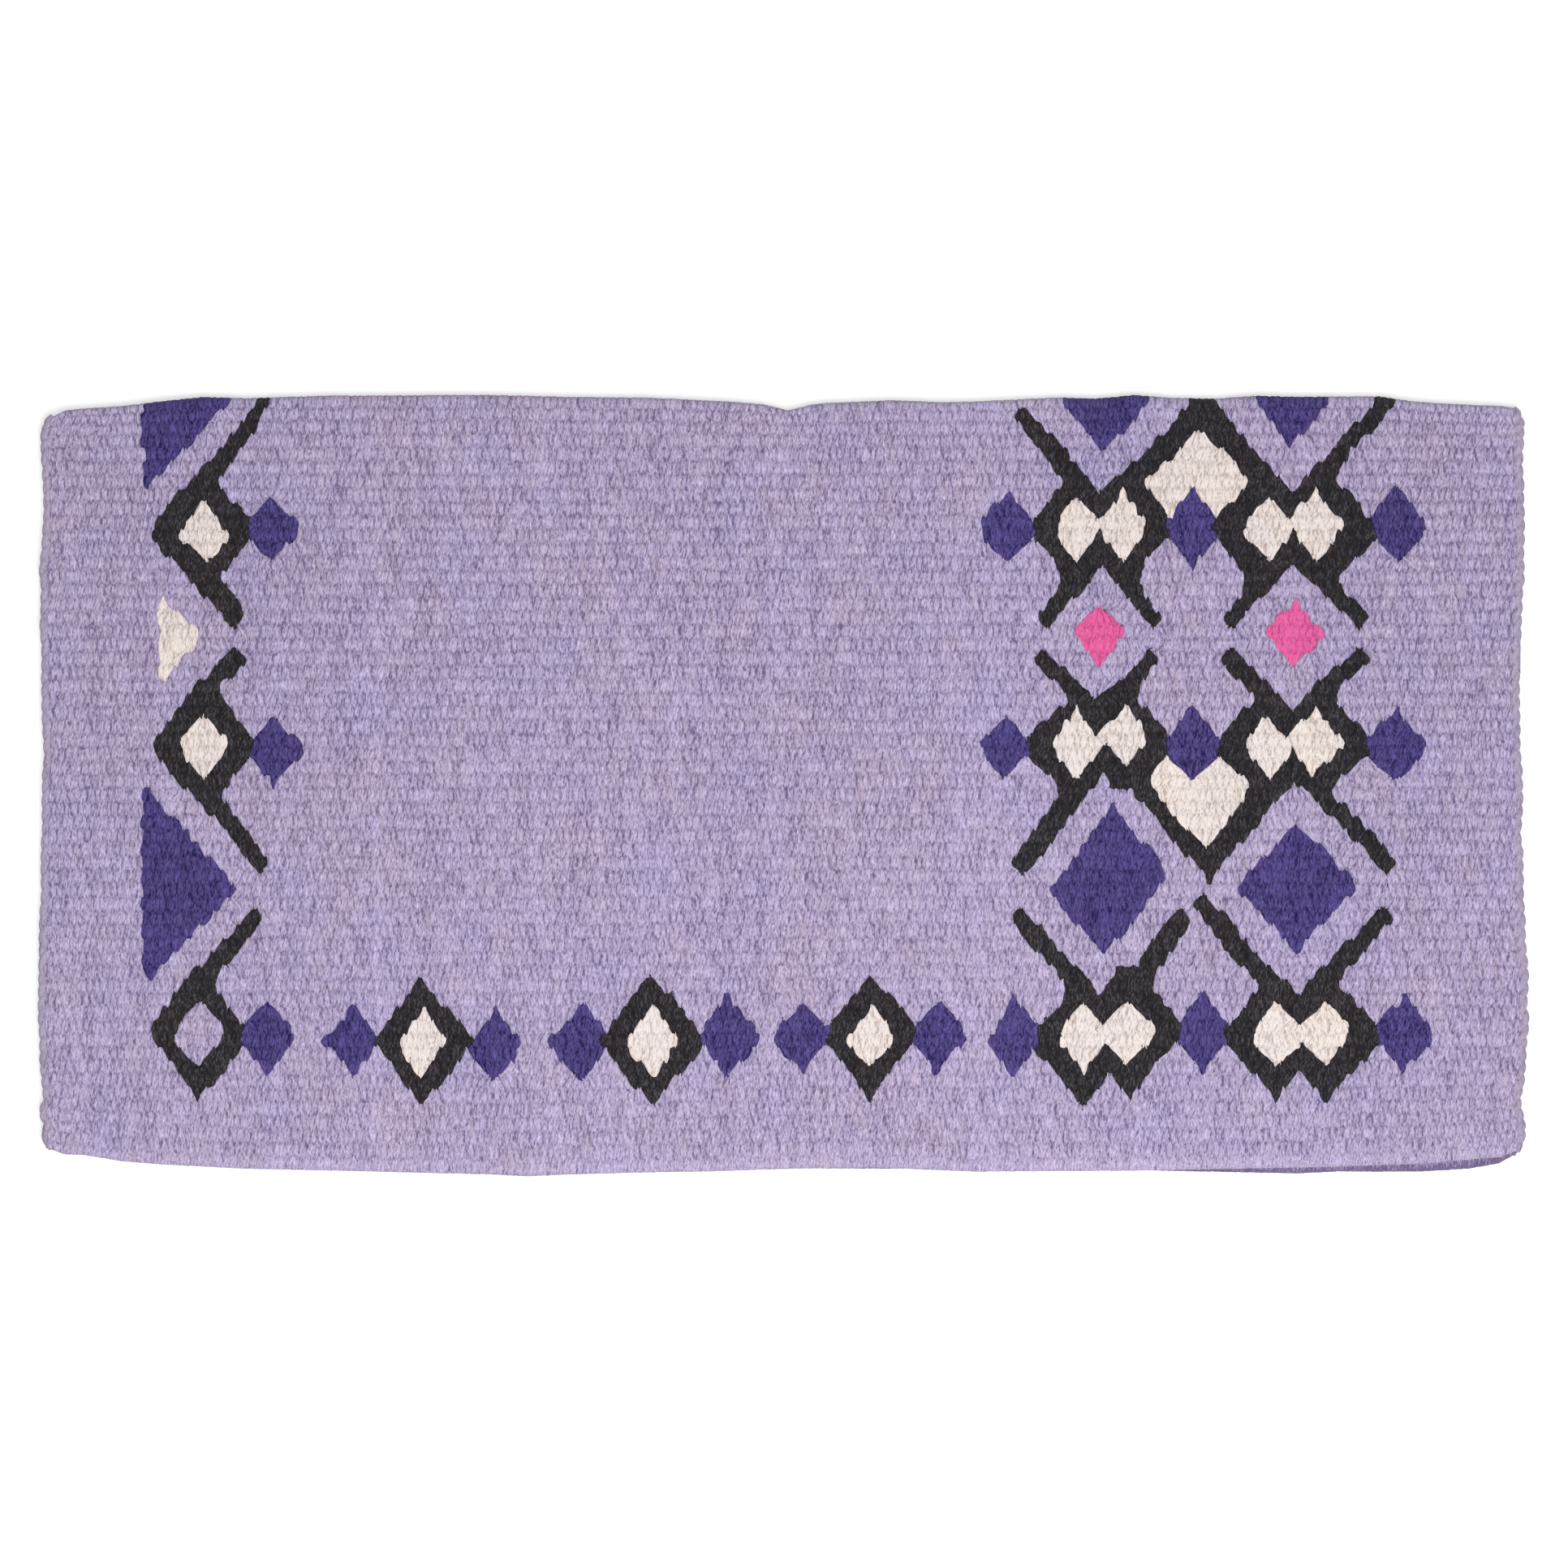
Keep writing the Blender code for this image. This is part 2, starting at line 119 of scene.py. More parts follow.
DRAFT_SHARES = {
    "left_fold_triangle": (VIOLET, half_diamond(15.1, MIDDLE_SHARE, 15.2, 8)),
    "left_upper_hook": (
        BLACK,
        diamond(24.3, 10, 8.7, 4.7),
        band((35.5, -0.9), (24.8, 6.9), 2.5),
        band((25.6, 13.6), (30, 17.4), 3.9),
    ),
    "left_upper_lozenge": (IVORY, diamond(24.7, 10.3, 4.1, 2.2)),
    "left_upper_diamond": (VIOLET, diamond(34.8, 9.8, 4.7, 2.4)),
    "left_ivory_triangle": (IVORY, half_diamond(17.9, 17.9, 6.9, 3.1)),
    "left_middle_hook": (
        BLACK,
        diamond(24.6, 25.8, 8.1, 4.9),
        band((30.8, 18.9), (24.7, 21.5), 4),
        band((25.8, 29.7), (33.9, 35.3), 3.3),
    ),
    "left_middle_lozenge": (IVORY, diamond(24.5, 25.8, 3.9, 2.4)),
    "left_middle_diamond": (VIOLET, diamond(35.2, 26.1, 4.5, 2.6)),
    "left_large_triangle": (VIOLET, half_diamond(15.3, 36.2, 14.4, 7.4)),
    "left_lower_hook": (BLACK, diamond(23.7, 47, 7.8, 5), band((33.4, 37.6), (23.6, 43.5), 3.3)),
    "left_lower_lozenge": (LAVENDER, diamond(23.7, 47, 4.4, 2.6)),
    "left_lower_diamond": (VIOLET, diamond(34, 47.2, 4.9, 2.8)),
    "hem_diamond_1": (VIOLET, diamond(46.7, 47.5, 4.2, 2.8)),
    "hem_ring_1": (BLACK, diamond(57.3, 47.6, 7.8, 4.6)),
    "hem_lozenge_1": (IVORY, diamond(57.4, 47.6, 3.6, 2.7)),
    "hem_diamond_2": (VIOLET, diamond(68.3, 47.9, 4.2, 2.8)),
    "hem_diamond_3": (VIOLET, diamond(81.3, 47.6, 5.2, 3)),
    "hem_ring_2": (BLACK, diamond(91.9, 47.4, 8.3, 4.8)),
    "hem_lozenge_2": (IVORY, diamond(91.7, 47.6, 4.3, 2.6)),
    "hem_diamond_4": (VIOLET, diamond(103.2, 47.2, 5.1, 2.9)),
    "hem_diamond_5": (VIOLET, diamond(114.3, 47.2, 5.4, 2.5)),
    "hem_ring_3": (BLACK, diamond(124.8, 47.1, 7.2, 4.7)),
    "hem_lozenge_3": (IVORY, diamond(124.8, 47.3, 4, 2.2)),
    "hem_diamond_6": (VIOLET, diamond(134.8, 47.1, 4.5, 2.6)),
    "fold_diamond_1": (VIOLET, diamond(159.8, MIDDLE_SHARE, 8.3, 4.9)),
    "fold_diamond_2": (VIOLET, diamond(187.6, MIDDLE_SHARE, 7.2, 4.5)),
    "upper_lattice": (
        BLACK,
        outline((174.5, -1), (187, 7.6), (161, 7.6)),
        diamond(155.2, 9.9, 6.7, 4.9),
        diamond(163.4, 9.6, 7.4, 4),
        diamond(183.6, 10, 8.2, 4.8),
        diamond(193.5, 10, 8.8, 4),
        band((146.6, 0.7), (157.3, 7.6)),
        band((174.6, 0.7), (160.1, 7.7)),
        band((174.4, 0.5), (187.3, 8)),
        band((202.2, 0.4), (189.4, 7.5)),
        band((158.5, 12.5), (149.9, 16.9)),
        band((160.8, 11.7), (167.8, 17.2)),
        band((186.2, 11.7), (177.6, 17.4)),
        band((189.4, 12.5), (199.8, 17.2)),
    ),
    "upper_chevron": (IVORY, outline((174.3, 2.6), (182, 6.4), (177, 9), (169.5, 9), (165.8, 6.5))),
    "upper_pair_1": (
        IVORY,
        diamond(155.6, 10, 3.8, 2.6),
        diamond(162.8, 9.9, 4, 2.6),
        band((158.9, 9.4), (158.9, 9.6), 2),
    ),
    "upper_pair_2": (
        IVORY,
        diamond(184.4, 10, 4.3, 2.6),
        diamond(191.3, 9.7, 4.6, 2.5),
        band((187.9, 9.4), (187.9, 9.6), 2),
    ),
    "upper_diamond_1": (VIOLET, diamond(145.1, 9.9, 5.1, 2.6)),
    "upper_diamond_2": (VIOLET, diamond(172.9, 9.9, 4.1, 3.2)),
    "upper_diamond_3": (VIOLET, diamond(203.9, 9.6, 4.5, 3.1)),
    "pink_diamond_1": (PINK, diamond(159, 17.6, 4.1, 2.2)),
    "pink_diamond_2": (PINK, diamond(188.3, 17.6, 4.9, 2.4)),
    "middle_lattice": (
        BLACK,
        diamond(155.7, 25.9, 11.1, 3.5),
        diamond(163.6, 25.8, 8.2, 3.8),
        diamond(183.6, 25.7, 7.9, 3.9),
        diamond(192.8, 25.7, 8.9, 3.7),
        outline((166.9, 26.2), (185, 28.6), (186.4, 26.5), (175, 35.7), (161, 27)),
        band((158.5, 22.4), (157, 23.3), 6.9),
        band((149.7, 19.1), (159.6, 24.1), 3.9),
        band((167.9, 18.6), (159.7, 23.4)),
        band((178.6, 19.3), (185.4, 22.9), 3.9),
        band((198.7, 19.2), (188.2, 23.5)),
        band((157.3, 28.2), (146.6, 35), 3.9),
        band((160.6, 27.9), (172.7, 32.6), 2.4),
        band((187, 28.3), (174.5, 35.3)),
        band((190.6, 28.5), (203.8, 35.3), 3.4),
    ),
    "middle_pair_1": (
        IVORY,
        diamond(155.7, 25.8, 4.2, 2.5),
        diamond(162.7, 25.2, 3.9, 2.3),
        band((159.2, 25.4), (159.2, 25.6), 2),
    ),
    "middle_pair_2": (
        IVORY,
        diamond(184.2, 25.9, 4, 2.5),
        diamond(191.4, 25.6, 4.7, 2.4),
        band((187.5, 25.4), (187.5, 25.6), 2),
    ),
    "middle_heart": (
        IVORY,
        outline((168.9, 26.6), (177.6, 26.7), (182, 29), (174.6, 33.4), (166.1, 28.3)),
    ),
    "middle_diamond_1": (VIOLET, diamond(144.7, 26, 4.3, 2.4)),
    "middle_diamond_2": (VIOLET, diamond(173.1, 25.8, 4.4, 2.8)),
    "middle_diamond_3": (VIOLET, diamond(203.3, 25.9, 5.4, 2.7)),
    "large_diamond_1": (
        VIOLET,
        outline((160.7, 30.4), (169.7, 34.9), (159.9, 41.2), (151.3, 36.6)),
    ),
    "large_diamond_2": (VIOLET, diamond(188.7, 36.2, 9.3, 4.7)),
    "lower_lattice_1": (
        BLACK,
        diamond(156.2, 47.5, 7.8, 4.9),
        diamond(163.4, 46.6, 8.8, 5.1),
        band((145.4, 37.6), (158.7, 44.8), 3.7),
        band((172.3, 37.7), (159.4, 46.7), 3.6),
    ),
    "lower_lattice_2": (
        BLACK,
        diamond(185.3, 47, 8.4, 4.8),
        diamond(193.1, 47.2, 9.5, 4.6),
        band((174.3, 37.3), (187.5, 45.3), 3.7),
        band((202.6, 37.9), (189.7, 44.6), 3.8),
    ),
    "lower_pair_1": (
        IVORY,
        diamond(156.6, 47.3, 3.8, 2.7),
        diamond(163.3, 46.9, 4.5, 2.5),
        band((160, 46.4), (160, 46.6), 2),
    ),
    "lower_pair_2": (
        IVORY,
        diamond(185.5, 47.2, 4.4, 2.4),
        diamond(192.7, 46.9, 4.6, 2.5),
        band((188.8, 46.4), (188.8, 46.6), 2),
    ),
    "lower_diamond_1": (VIOLET, diamond(146.3, 47.3, 4.1, 3.1)),
    "lower_diamond_2": (VIOLET, diamond(174.5, 46.9, 3.7, 3.4)),
    "lower_diamond_3": (VIOLET, diamond(204.7, 47, 5, 2.8)),
}


def weave(behind):
    """The draft woven rib by rib: the figure's number in each half float, with 0 for the ground.

    The floats of every second rib stand half a float aside, so a slanted edge climbs in steps.
    The off side carries on behind the fold: its ribs are the near side's, one rib late.
    """
    cells = numpy.zeros((RIBS, 2 * FLOATS), int)
    for number, (_, *shapes) in enumerate(DRAFT_SHARES.values(), 1):
        for rib in range(RIBS):
            aside = aside_of(rib, behind)
            for shape in shapes:
                span = shape(rib + 1 / 2 - behind)
                if span:
                    first = round(span[0] - aside) + aside
                    last = max(round(span[1] - aside) + aside, first + 1)
                    cells[rib, int(2 * first) : int(2 * last)] = number
    return cells


def aside_of(rib, behind):
    """How far a rib's floats stand aside, in floats."""
    return (rib + 1 + behind) % 2 / 2


# The net of points: steps per float, steps per rib, and finer ribs at the fold and hem
FINE_NET = (4, 3, 8)
PLAIN_NET = (4, 2, 6)
END_COLUMNS = 1.25
ROUNDING = 1e-6

# The height of the ribs and floats: the grooves between ribs, which change slowly down the side and
# across it, and the valleys between floats, which are random in depth and fade out at the hem
RELIEF = 0.0010
PROUD = 0.0002
FLOOR_LIFT = 0.0003
RIB_DEPTHS = (0.40, 0.13)
RIB_CHANGE_DOWN = (0.8, 20)
RIB_CHANGE_ACROSS = (0.4, 5, 4)
RIB_ROUNDNESS = 2.0
VALLEY_WIDTH = 0.75
VALLEY_DEPTHS = (0.25, 0.95)
FLOAT_HEIGHTS = (0.9, 1.08)
CREST_MOST = 1.15
HEM_SMOOTH = 0.65
HEM_SMOOTH_RIBS = 1.5
HEM_SMOOTH_FADE = 0.5

# Painted shade: the off side's last rib is coloured darker by this much, for the shade in which it lies
PAINTED_HEM_SHADE = 1.6

# How far floats pass the line between ribs, and how far they stray from their places
TIP_REACH = 0.0006
SWAY = 0.0005
STRAY = 0.0004
FRAY = 0.00022

# How far a figure's border leans towards its place in the next rib. The reach, and the room round
# it that stays still, are in half floats
LEAN_SHARE = 0.3
LEAN_POWER = 2.6
LEAN_REACH = 6
STILL_PLACE = 4
STILL_ROOM = 3
LEAST_ROOM_SHARE = 0.15

# How far a figure's blunt end draws together and points on into the next rib, up to a width in floats
BLUNT_FLOATS = 6
POINT_SHARE = 0.6
POINT_SLOPE = 0.16
POINT_MOST = 0.4

# The cut across a side: how far its rounded ends reach along the cloth and through it
FOLD_ARC = (0.0052, THICKNESS - 0.0007)
INNER_ARC = (0.0012, 0.0003)
HEM_ARC = (0.0040, THICKNESS / 2 - 0.0002)
END_ARC = 0.0014
END_LEAST_SHARE = 0.05

# The slow ups and downs of the upper face: the old crease down its middle, and waves
CREASE_DEPTH = 0.0014
CREASE_REACH = 0.011
WAVE_HEIGHT = 0.0004
WAVES_ACROSS = 17
WAVES_DOWN = 23
WAVES_SLANT = 9

# How much each float and each pick of yarn differs in shade
FLOAT_SHADES = 0.1
PICK_SHADES = 0.04
LOTS = 9

# How far into the cloth the outline's wander reaches
FOLD_LINE_REACH = 0.034
HEM_LINE_REACH = 0.09
END_LINE_REACH = 0.06

# How far the outline measured on the photo stands off the straight one, as (millimetres across,
# millimetres)
FOLD_LINE = (
    (-433, 22), (-431, 17.5), (-429, 15.6), (-426, 14), (-422, 11.4), (-418, 9.4), (-408, 8.4),
    (-385, 6.8), (-361, 3.9), (-338, 1.4), (-314, 2.2), (-267, 0.7), (-173, 0.2), (-125, 1.4),
    (-78, 1.9), (-32, 4.1), (-12, 5.8), (-2, 8), (2.4, 9.4), (7, 8.4), (12, 7.2), (16, 6), (26, 5),
    (64, 3.4), (92, 4.6), (111, 4.2), (158, 1.8), (182, 2.4), (205, 0.2), (228, 2), (252, 2.4),
    (276, 0.6), (300, 1.4), (347, 1), (366, 4), (385, 5.4), (394, 5.8), (418, 6.8), (424, 7.6),
    (428, 8.6), (430, 9.4), (433, 14),
)
HEM_LINE = (
    (-432, -14), (-427, -12), (-418, -8.7), (-408, -8.6), (-385, -4.8), (-361, -2.9), (-314, -0.5),
    (-267, 0.5), (-173, 2.8), (-149, 4), (-125, 2.9), (-78, 1.6), (-38, 1), (-5, -0.3), (26, -1),
    (54, -1.2), (110, 1.2), (205, 0.6), (309, -1.4), (371, -3.4), (418, -7.5), (425, -10.4),
    (432, -14),
)
OFF_HEM_LINE = (
    (-432, -15), (-418, -11), (-385, -8), (-314, -3), (-173, -1), (110, 0.4), (205, 1), (277, 2.6),
    (300, 3), (325, 1.8), (347, 2), (373, 1.9), (400, 0.2), (417, -2.8), (426, -8), (432, -14),
)

# How far the cut ends stand out in the same way, as (millimetres from the fold, millimetres)
END_LINES = {
    "left": (
        (0, 0), (12, -0.9), (20, 0.9), (36, 0.9), (50, 0), (71, -0.9), (88, -0.4), (105, 1.4), (111, 0),
        (139, 1.2), (149, 0.2), (172, 0.4), (202, -0.9), (213, -1.4), (224, 0), (253, 0.3), (275, 0.9),
        (290, 0), (304, 0.9), (326, 1.9), (343, 2.8), (366, 2.8), (377, 1.5), (389, 1.6), (406, 0),
        (416, -0.9), (423, 1.9), (428, 1.4), (434, -1.2), (440, 0.8), (452, 0),
    ),
    "right": (
        (0, -0.6), (9, -1), (15, 0), (26, -0.4), (36, -1.2), (54, -0.4), (73, 0), (97, -0.4), (105, 0.2),
        (116, -1.2), (134, -2.6), (156, -3.8), (179, -3.4), (207, -2.8), (220, -1.8), (236, -1.2),
        (248, -2), (258, -2.6), (267, -1.2), (292, -0.4), (304, 0.4), (321, 0.6), (331, 1.8),
        (343, 2.4), (357, 1.2), (366, 3), (377, 1.4), (394, 1), (406, 0), (414, -1.9), (423, -1.4),
        (428, 0), (434, 1), (445, 1), (452, 0.5),
    ),
}


def net(steps):
    """The lines of the net down a side, as ribs from the fold, and the rib of each space."""
    _, along, ends = steps
    lines = []
    rib_of = []
    for rib in range(RIBS):
        count = ends if rib in (0, RIBS - 1) else along
        lines += [rib + step / count for step in range(count)]
        rib_of += [rib] * count
    return numpy.array(lines + [RIBS]), numpy.array(rib_of)


def spaces(number):
    """The four corners of each space in a grid of point numbers, in order round it."""
    return number[:-1, :-1], number[1:, :-1], number[1:, 1:], number[:-1, 1:]


def smooth_noise(places, seed, scale):
    """A smooth random curve through the given places, from -1 to 1."""
    source = numpy.random.default_rng(seed)
    low, high = places.min() - scale, places.max() + scale
    knots = numpy.arange(low, high + scale, scale)
    values = source.uniform(-1, 1, len(knots))
    at = (places - knots[0]) / scale
    index = numpy.clip(at.astype(int), 0, len(knots) - 2)
    part = at - index
    part = part * part * (3 - 2 * part)
    return values[index] * (1 - part) + values[index + 1] * part


def along_line(line, across):
    """How far a line of the outline stands off at the given places, in metres."""
    places, heights = numpy.array(line).T / 1000
    return numpy.interp(across, places, heights)


def borders_of(row):
    """Where the figure changes along a rib, in half floats, with the figures on its two sides."""
    places = numpy.flatnonzero(row[1:] != row[:-1]) + 1
    return [(int(place), row[place - 1], row[place]) for place in places]


def run_at(row, place):
    """The ends of the run of one figure that holds a half float."""
    same = row == row[place]
    start, end = place, place
    while start > 0 and same[start - 1]:
        start -= 1
    while end < len(row) - 1 and same[end + 1]:
        end += 1
    return start, end + 1


def leaning(row, onward):
    """How far each border of a rib leans towards where it goes on in the next rib."""
    found = {}
    further = borders_of(onward)
    for place, left, right in borders_of(row):
        same = [other for other, *sides in further if sides == [left, right]]
        same = [other for other in same if abs(other - place) <= LEAN_REACH]
        if same:
            goal = min(same, key=lambda other: abs(other - place))
            found[place] = LEAN_SHARE * (goal - place)
            continue
        for inside in (place - 1, place):
            start, end = run_at(row, inside)
            if end - start <= 2 * BLUNT_FLOATS and not (onward[start:end] == row[inside]).any():
                found[place] = POINT_SHARE * ((start + end) / 2 - place)
                break
    return found


def leans(cells):
    """The lean of the floats at each line between ribs, in metres, for each half float."""
    field = numpy.zeros((RIBS + 1, 2 * FLOATS + 1))
    for line in range(1, RIBS):
        knots = leaning(cells[line - 1], cells[line])
        for place, lean in leaning(cells[line], cells[line - 1]).items():
            knots[place] = (knots[place] + lean) / 2 if place in knots else lean
        for place in sorted(knots):
            for still in (place - STILL_PLACE, place + STILL_PLACE):
                if all(abs(still - other) > STILL_ROOM for other in knots):
                    knots[still] = 0
        if knots:
            places = numpy.array(sorted(knots))
            moved = places + numpy.array([knots[place] for place in places])
            for count in range(1, len(places)):
                least = moved[count - 1] + LEAST_ROOM_SHARE * (places[count] - places[count - 1])
                moved[count] = max(moved[count], least)
            field[line] = numpy.interp(numpy.arange(2 * FLOATS + 1), places, moved - places)
    return field * FLOAT / 2


def points_of(cells):
    """How far a figure's blunt end points on into the next rib, in metres, for each half float."""
    field = numpy.zeros((RIBS + 1, 2 * FLOATS + 1))
    for line in range(1, RIBS):
        above, below = cells[line - 1], cells[line]
        for row, onward, sign in ((above, below, 1), (below, above, -1)):
            ends = [place for place, *_ in borders_of(row)]
            for start, end in zip(ends, ends[1:]):
                floats = (end - start) / 2
                if 1 < floats <= BLUNT_FLOATS and not (onward[start:end] == row[start]).any():
                    reach = min((floats - 1) * POINT_SLOPE, POINT_MOST)
                    across = numpy.linspace(-1, 1, end - start + 1)
                    field[line, start : end + 1] += sign * reach * (1 - numpy.abs(across))
    return field * RIB


def net_normals(points):
    """The upward normals of a net of points."""
    down = numpy.gradient(points, axis=0)
    across = numpy.gradient(points, axis=1)
    normals = numpy.cross(down, across)
    return normals / numpy.linalg.norm(normals, axis=-1, keepdims=True)


class Side:
    """One side of the folded cloth: its net of points, its floats and its pieces."""

    def __init__(self, name, behind, steps, hem_line, seed):
        self.name = name
        self.behind = behind
        self.layer = -1 if behind else 1
        self.hem_line = hem_line
        self.random = numpy.random.default_rng(seed)
        self.lines, self.rib_of = net(steps)
        fine = steps[0]
        first = round(END_COLUMNS * fine)
        count = FLOATS * fine
        self.columns = numpy.arange(first, count - first + 1) / fine
        self.half_of = (2 * self.columns[:-1] + ROUNDING).astype(int)
        self.cells = weave(behind)
        self.owner = self.cells[self.rib_of][:, self.half_of]
        self.make_points()
        self.make_yarns()

    def make_points(self):
        """The places of the net's points on the outer and the inner face."""
        rib = numpy.minimum(self.lines.astype(int), RIBS - 1)
        rest = (self.lines - rib)[:, None]
        aside = aside_of(rib, self.behind)[:, None]
        wave = numpy.cos(2 * math.pi * (self.columns[None] - aside))
        knots = numpy.arange(2 * FLOATS + 1) / 2

        # The tips of floats pass each line between ribs, but not the fold or the hem
        tips = numpy.full(RIBS + 1, TIP_REACH)
        tips[[0, -1]] = 0
        tips = tips[rib][:, None] * (1 - rest) - tips[rib + 1][:, None] * rest

        sway = self.random.normal(0, SWAY, (RIBS + 1, len(knots)))
        stray = self.random.normal(0, STRAY, (RIBS + 1, len(knots)))
        stray[0] = stray[-1] = 0
        stray += points_of(self.cells)
        sway, stray = (self.spread(field, rib, rest, knots) for field in (sway, stray))
        sway += self.spread(leans(self.cells), rib, rest, knots, LEAN_POWER)
        fray = self.random.normal(0, FRAY, (2, len(self.lines), len(self.columns)))
        fray[1, [0, -1]] = 0

        x = self.columns[None] * FLOAT - WIDTH / 2 + sway + fray[0]
        s = self.lines[:, None] * RIB + wave * tips + stray + fray[1]
        self.crest = self.crests(rib, rest, aside, wave)
        self.crest_and_painted_shade = self.crest
        # The off side's last rib is given painted shade, carried to the material with the crests
        if self.behind:
            last_rib = numpy.clip(self.lines - RIBS + 1, 0, 1)[:, None]
            self.crest_and_painted_shade = self.crest - PAINTED_HEM_SHADE * last_rib
        self.outer = self.place(x, s, True)
        self.inner = self.place(x, s, False)
        self.normals = [self.layer * net_normals(self.outer), -self.layer * net_normals(self.inner)]

    def crests(self, rib, rest, aside, wave):
        """The height of the net's points on their floats: 0 in the grooves and 1 on a crest."""
        down_share, down_ribs = RIB_CHANGE_DOWN
        across_share, across_turn, across_start = RIB_CHANGE_ACROSS
        slow = down_share * numpy.cos(self.lines / down_ribs)[:, None]
        slow = slow + across_share * numpy.sin(across_turn * self.columns / FLOATS - across_start)
        groove = RIB_DEPTHS[0] + RIB_DEPTHS[1] * slow
        ridge = 1 - groove * numpy.abs(2 * rest - 1) ** RIB_ROUNDNESS
        valley = 1 - (numpy.clip(1 - wave, 0, 2) / 2) ** VALLEY_WIDTH
        place = self.columns[None] - aside
        tall = self.random.uniform(*FLOAT_HEIGHTS, (RIBS, FLOATS + 3))
        deep = self.random.uniform(*VALLEY_DEPTHS, (RIBS, FLOATS + 3))
        tall = tall[rib[:, None], numpy.floor(place + 1).astype(int)]
        deep = deep[rib[:, None], numpy.floor(place + 1.5).astype(int)]
        hem = numpy.clip((self.lines - RIBS + HEM_SMOOTH_RIBS) / HEM_SMOOTH_FADE, 0, 1)
        valley = valley * (1 - HEM_SMOOTH * hem)[:, None]
        return numpy.clip(ridge * (tall - valley * deep), 0, CREST_MOST)

    def spread(self, field, rib, rest, knots, power=1):
        """Values at the float ends, spread over the net from the lines above and below each rib."""
        upper, lower = (
            numpy.array([numpy.interp(self.columns, knots, field[row + below]) for row in rib])
            for below in (0, 1)
        )
        return upper * (1 - rest) ** power + lower * rest**power

    def place(self, x, s, outer):
        """Points of one face, at x across and s down from the fold, in the model's frame."""
        fold_reach, fold_depth = FOLD_ARC if outer else INNER_ARC
        hem_reach, hem_depth = HEM_ARC
        fold = math.pi / 2 * numpy.clip(1 - s / fold_reach, 0, 1)
        hem = math.pi / 2 * numpy.clip(1 - (DROP - s) / hem_reach, 0, 1)
        down = numpy.where(fold > 0, fold_reach * (1 - numpy.sin(fold)), s)
        down = numpy.where(hem > 0, DROP - hem_reach * (1 - numpy.sin(hem)), down)
        depth = fold_depth * (1 - numpy.cos(fold)) + hem_depth * (1 - numpy.cos(hem))
        lift = self.crest * RELIEF - (RELIEF - PROUD) - (FLOOR_LIFT if self.behind else 0)
        slope = numpy.sin(hem) - numpy.sin(fold)
        level = numpy.cos(fold + hem)
        half_width = numpy.abs(x).max()
        side = math.pi / 2 * numpy.clip(1 - (half_width - numpy.abs(x)) / END_ARC, 0, 1)
        across = numpy.where(
            side > 0, numpy.sign(x) * (half_width - END_ARC * (1 - numpy.sin(side))), x
        )
        level_out = THICKNESS / 2 - depth + lift * level
        above = level_out * numpy.maximum(numpy.cos(side), END_LEAST_SHARE)
        down = down + lift * slope
        middle = CLEARANCE / 2 + THICKNESS / 2
        if outer:
            high = middle + above + self.swell(across, down)
        else:
            high = middle - above + PROUD
        return self.in_frame(across, down, high)

    def swell(self, across, down):
        """The slow ups and downs of the outer face."""
        if self.behind:
            return 0
        valley = -CREASE_DEPTH * numpy.exp(-((across / CREASE_REACH) ** 2))
        waves = numpy.sin(across * WAVES_ACROSS + 1)
        waves = waves * numpy.sin(down * WAVES_DOWN + across * WAVES_SLANT)
        return valley + WAVE_HEIGHT * waves

    def in_frame(self, across, down, high):
        """From across, down and away from the middle of the folded cloth, to the model's frame."""
        fold = along_line(FOLD_LINE, across) * numpy.clip(1 - down / FOLD_LINE_REACH, 0, 1) ** 2
        hem = along_line(self.hem_line, across)
        hem = hem * numpy.clip(1 - (DROP - down) / HEM_LINE_REACH, 0, 1) ** 2
        y = HINGE[1] - down - fold - hem
        for end, sign in (("left", -1), ("right", 1)):
            near_end = numpy.clip((sign * across - WIDTH / 2 + END_LINE_REACH) / END_LINE_REACH, 0, 1)
            across = across + sign * along_line(END_LINES[end], down) * near_end**2
        return numpy.stack([across, y, HINGE[2] + self.layer * high], -1)

    def make_yarns(self):
        """Each float's own shade and tint, for the faces of the net."""
        rib = self.rib_of[:, None]
        aside = (rib + 1 + self.behind) % 2
        index = (self.half_of[None] - aside) // 2 + 1
        left = numpy.broadcast_to(self.columns[:-1] - aside / 2 + 1 - index, index.shape)
        right = left + self.columns[1] - self.columns[0]
        top = numpy.broadcast_to((self.lines[:-1] - self.rib_of)[:, None], index.shape)
        bottom = numpy.broadcast_to((self.lines[1:] - self.rib_of)[:, None], index.shape)
        self.corners = numpy.stack(
            [left, top, left, bottom, right, bottom, right, top], -1
        ).reshape(*index.shape, 4, 2)
        yarns = self.random.normal(0, 1, (RIBS, FLOATS + 2, 2))[rib, index]
        self.lots = self.random.uniform(0, LOTS, (RIBS, FLOATS + 2))[rib, index]
        picks = self.random.normal(0, 1, (2 * FLOATS + 4, 2))
        picks = 0.5 * picks[:-3] + picks[1:-2] + picks[2:-1] + 0.5 * picks[3:]
        pick_of = 2 * index + aside - 1
        self.yarns = numpy.clip(FLOAT_SHADES * yarns + PICK_SHADES * picks[pick_of], -1, 1)

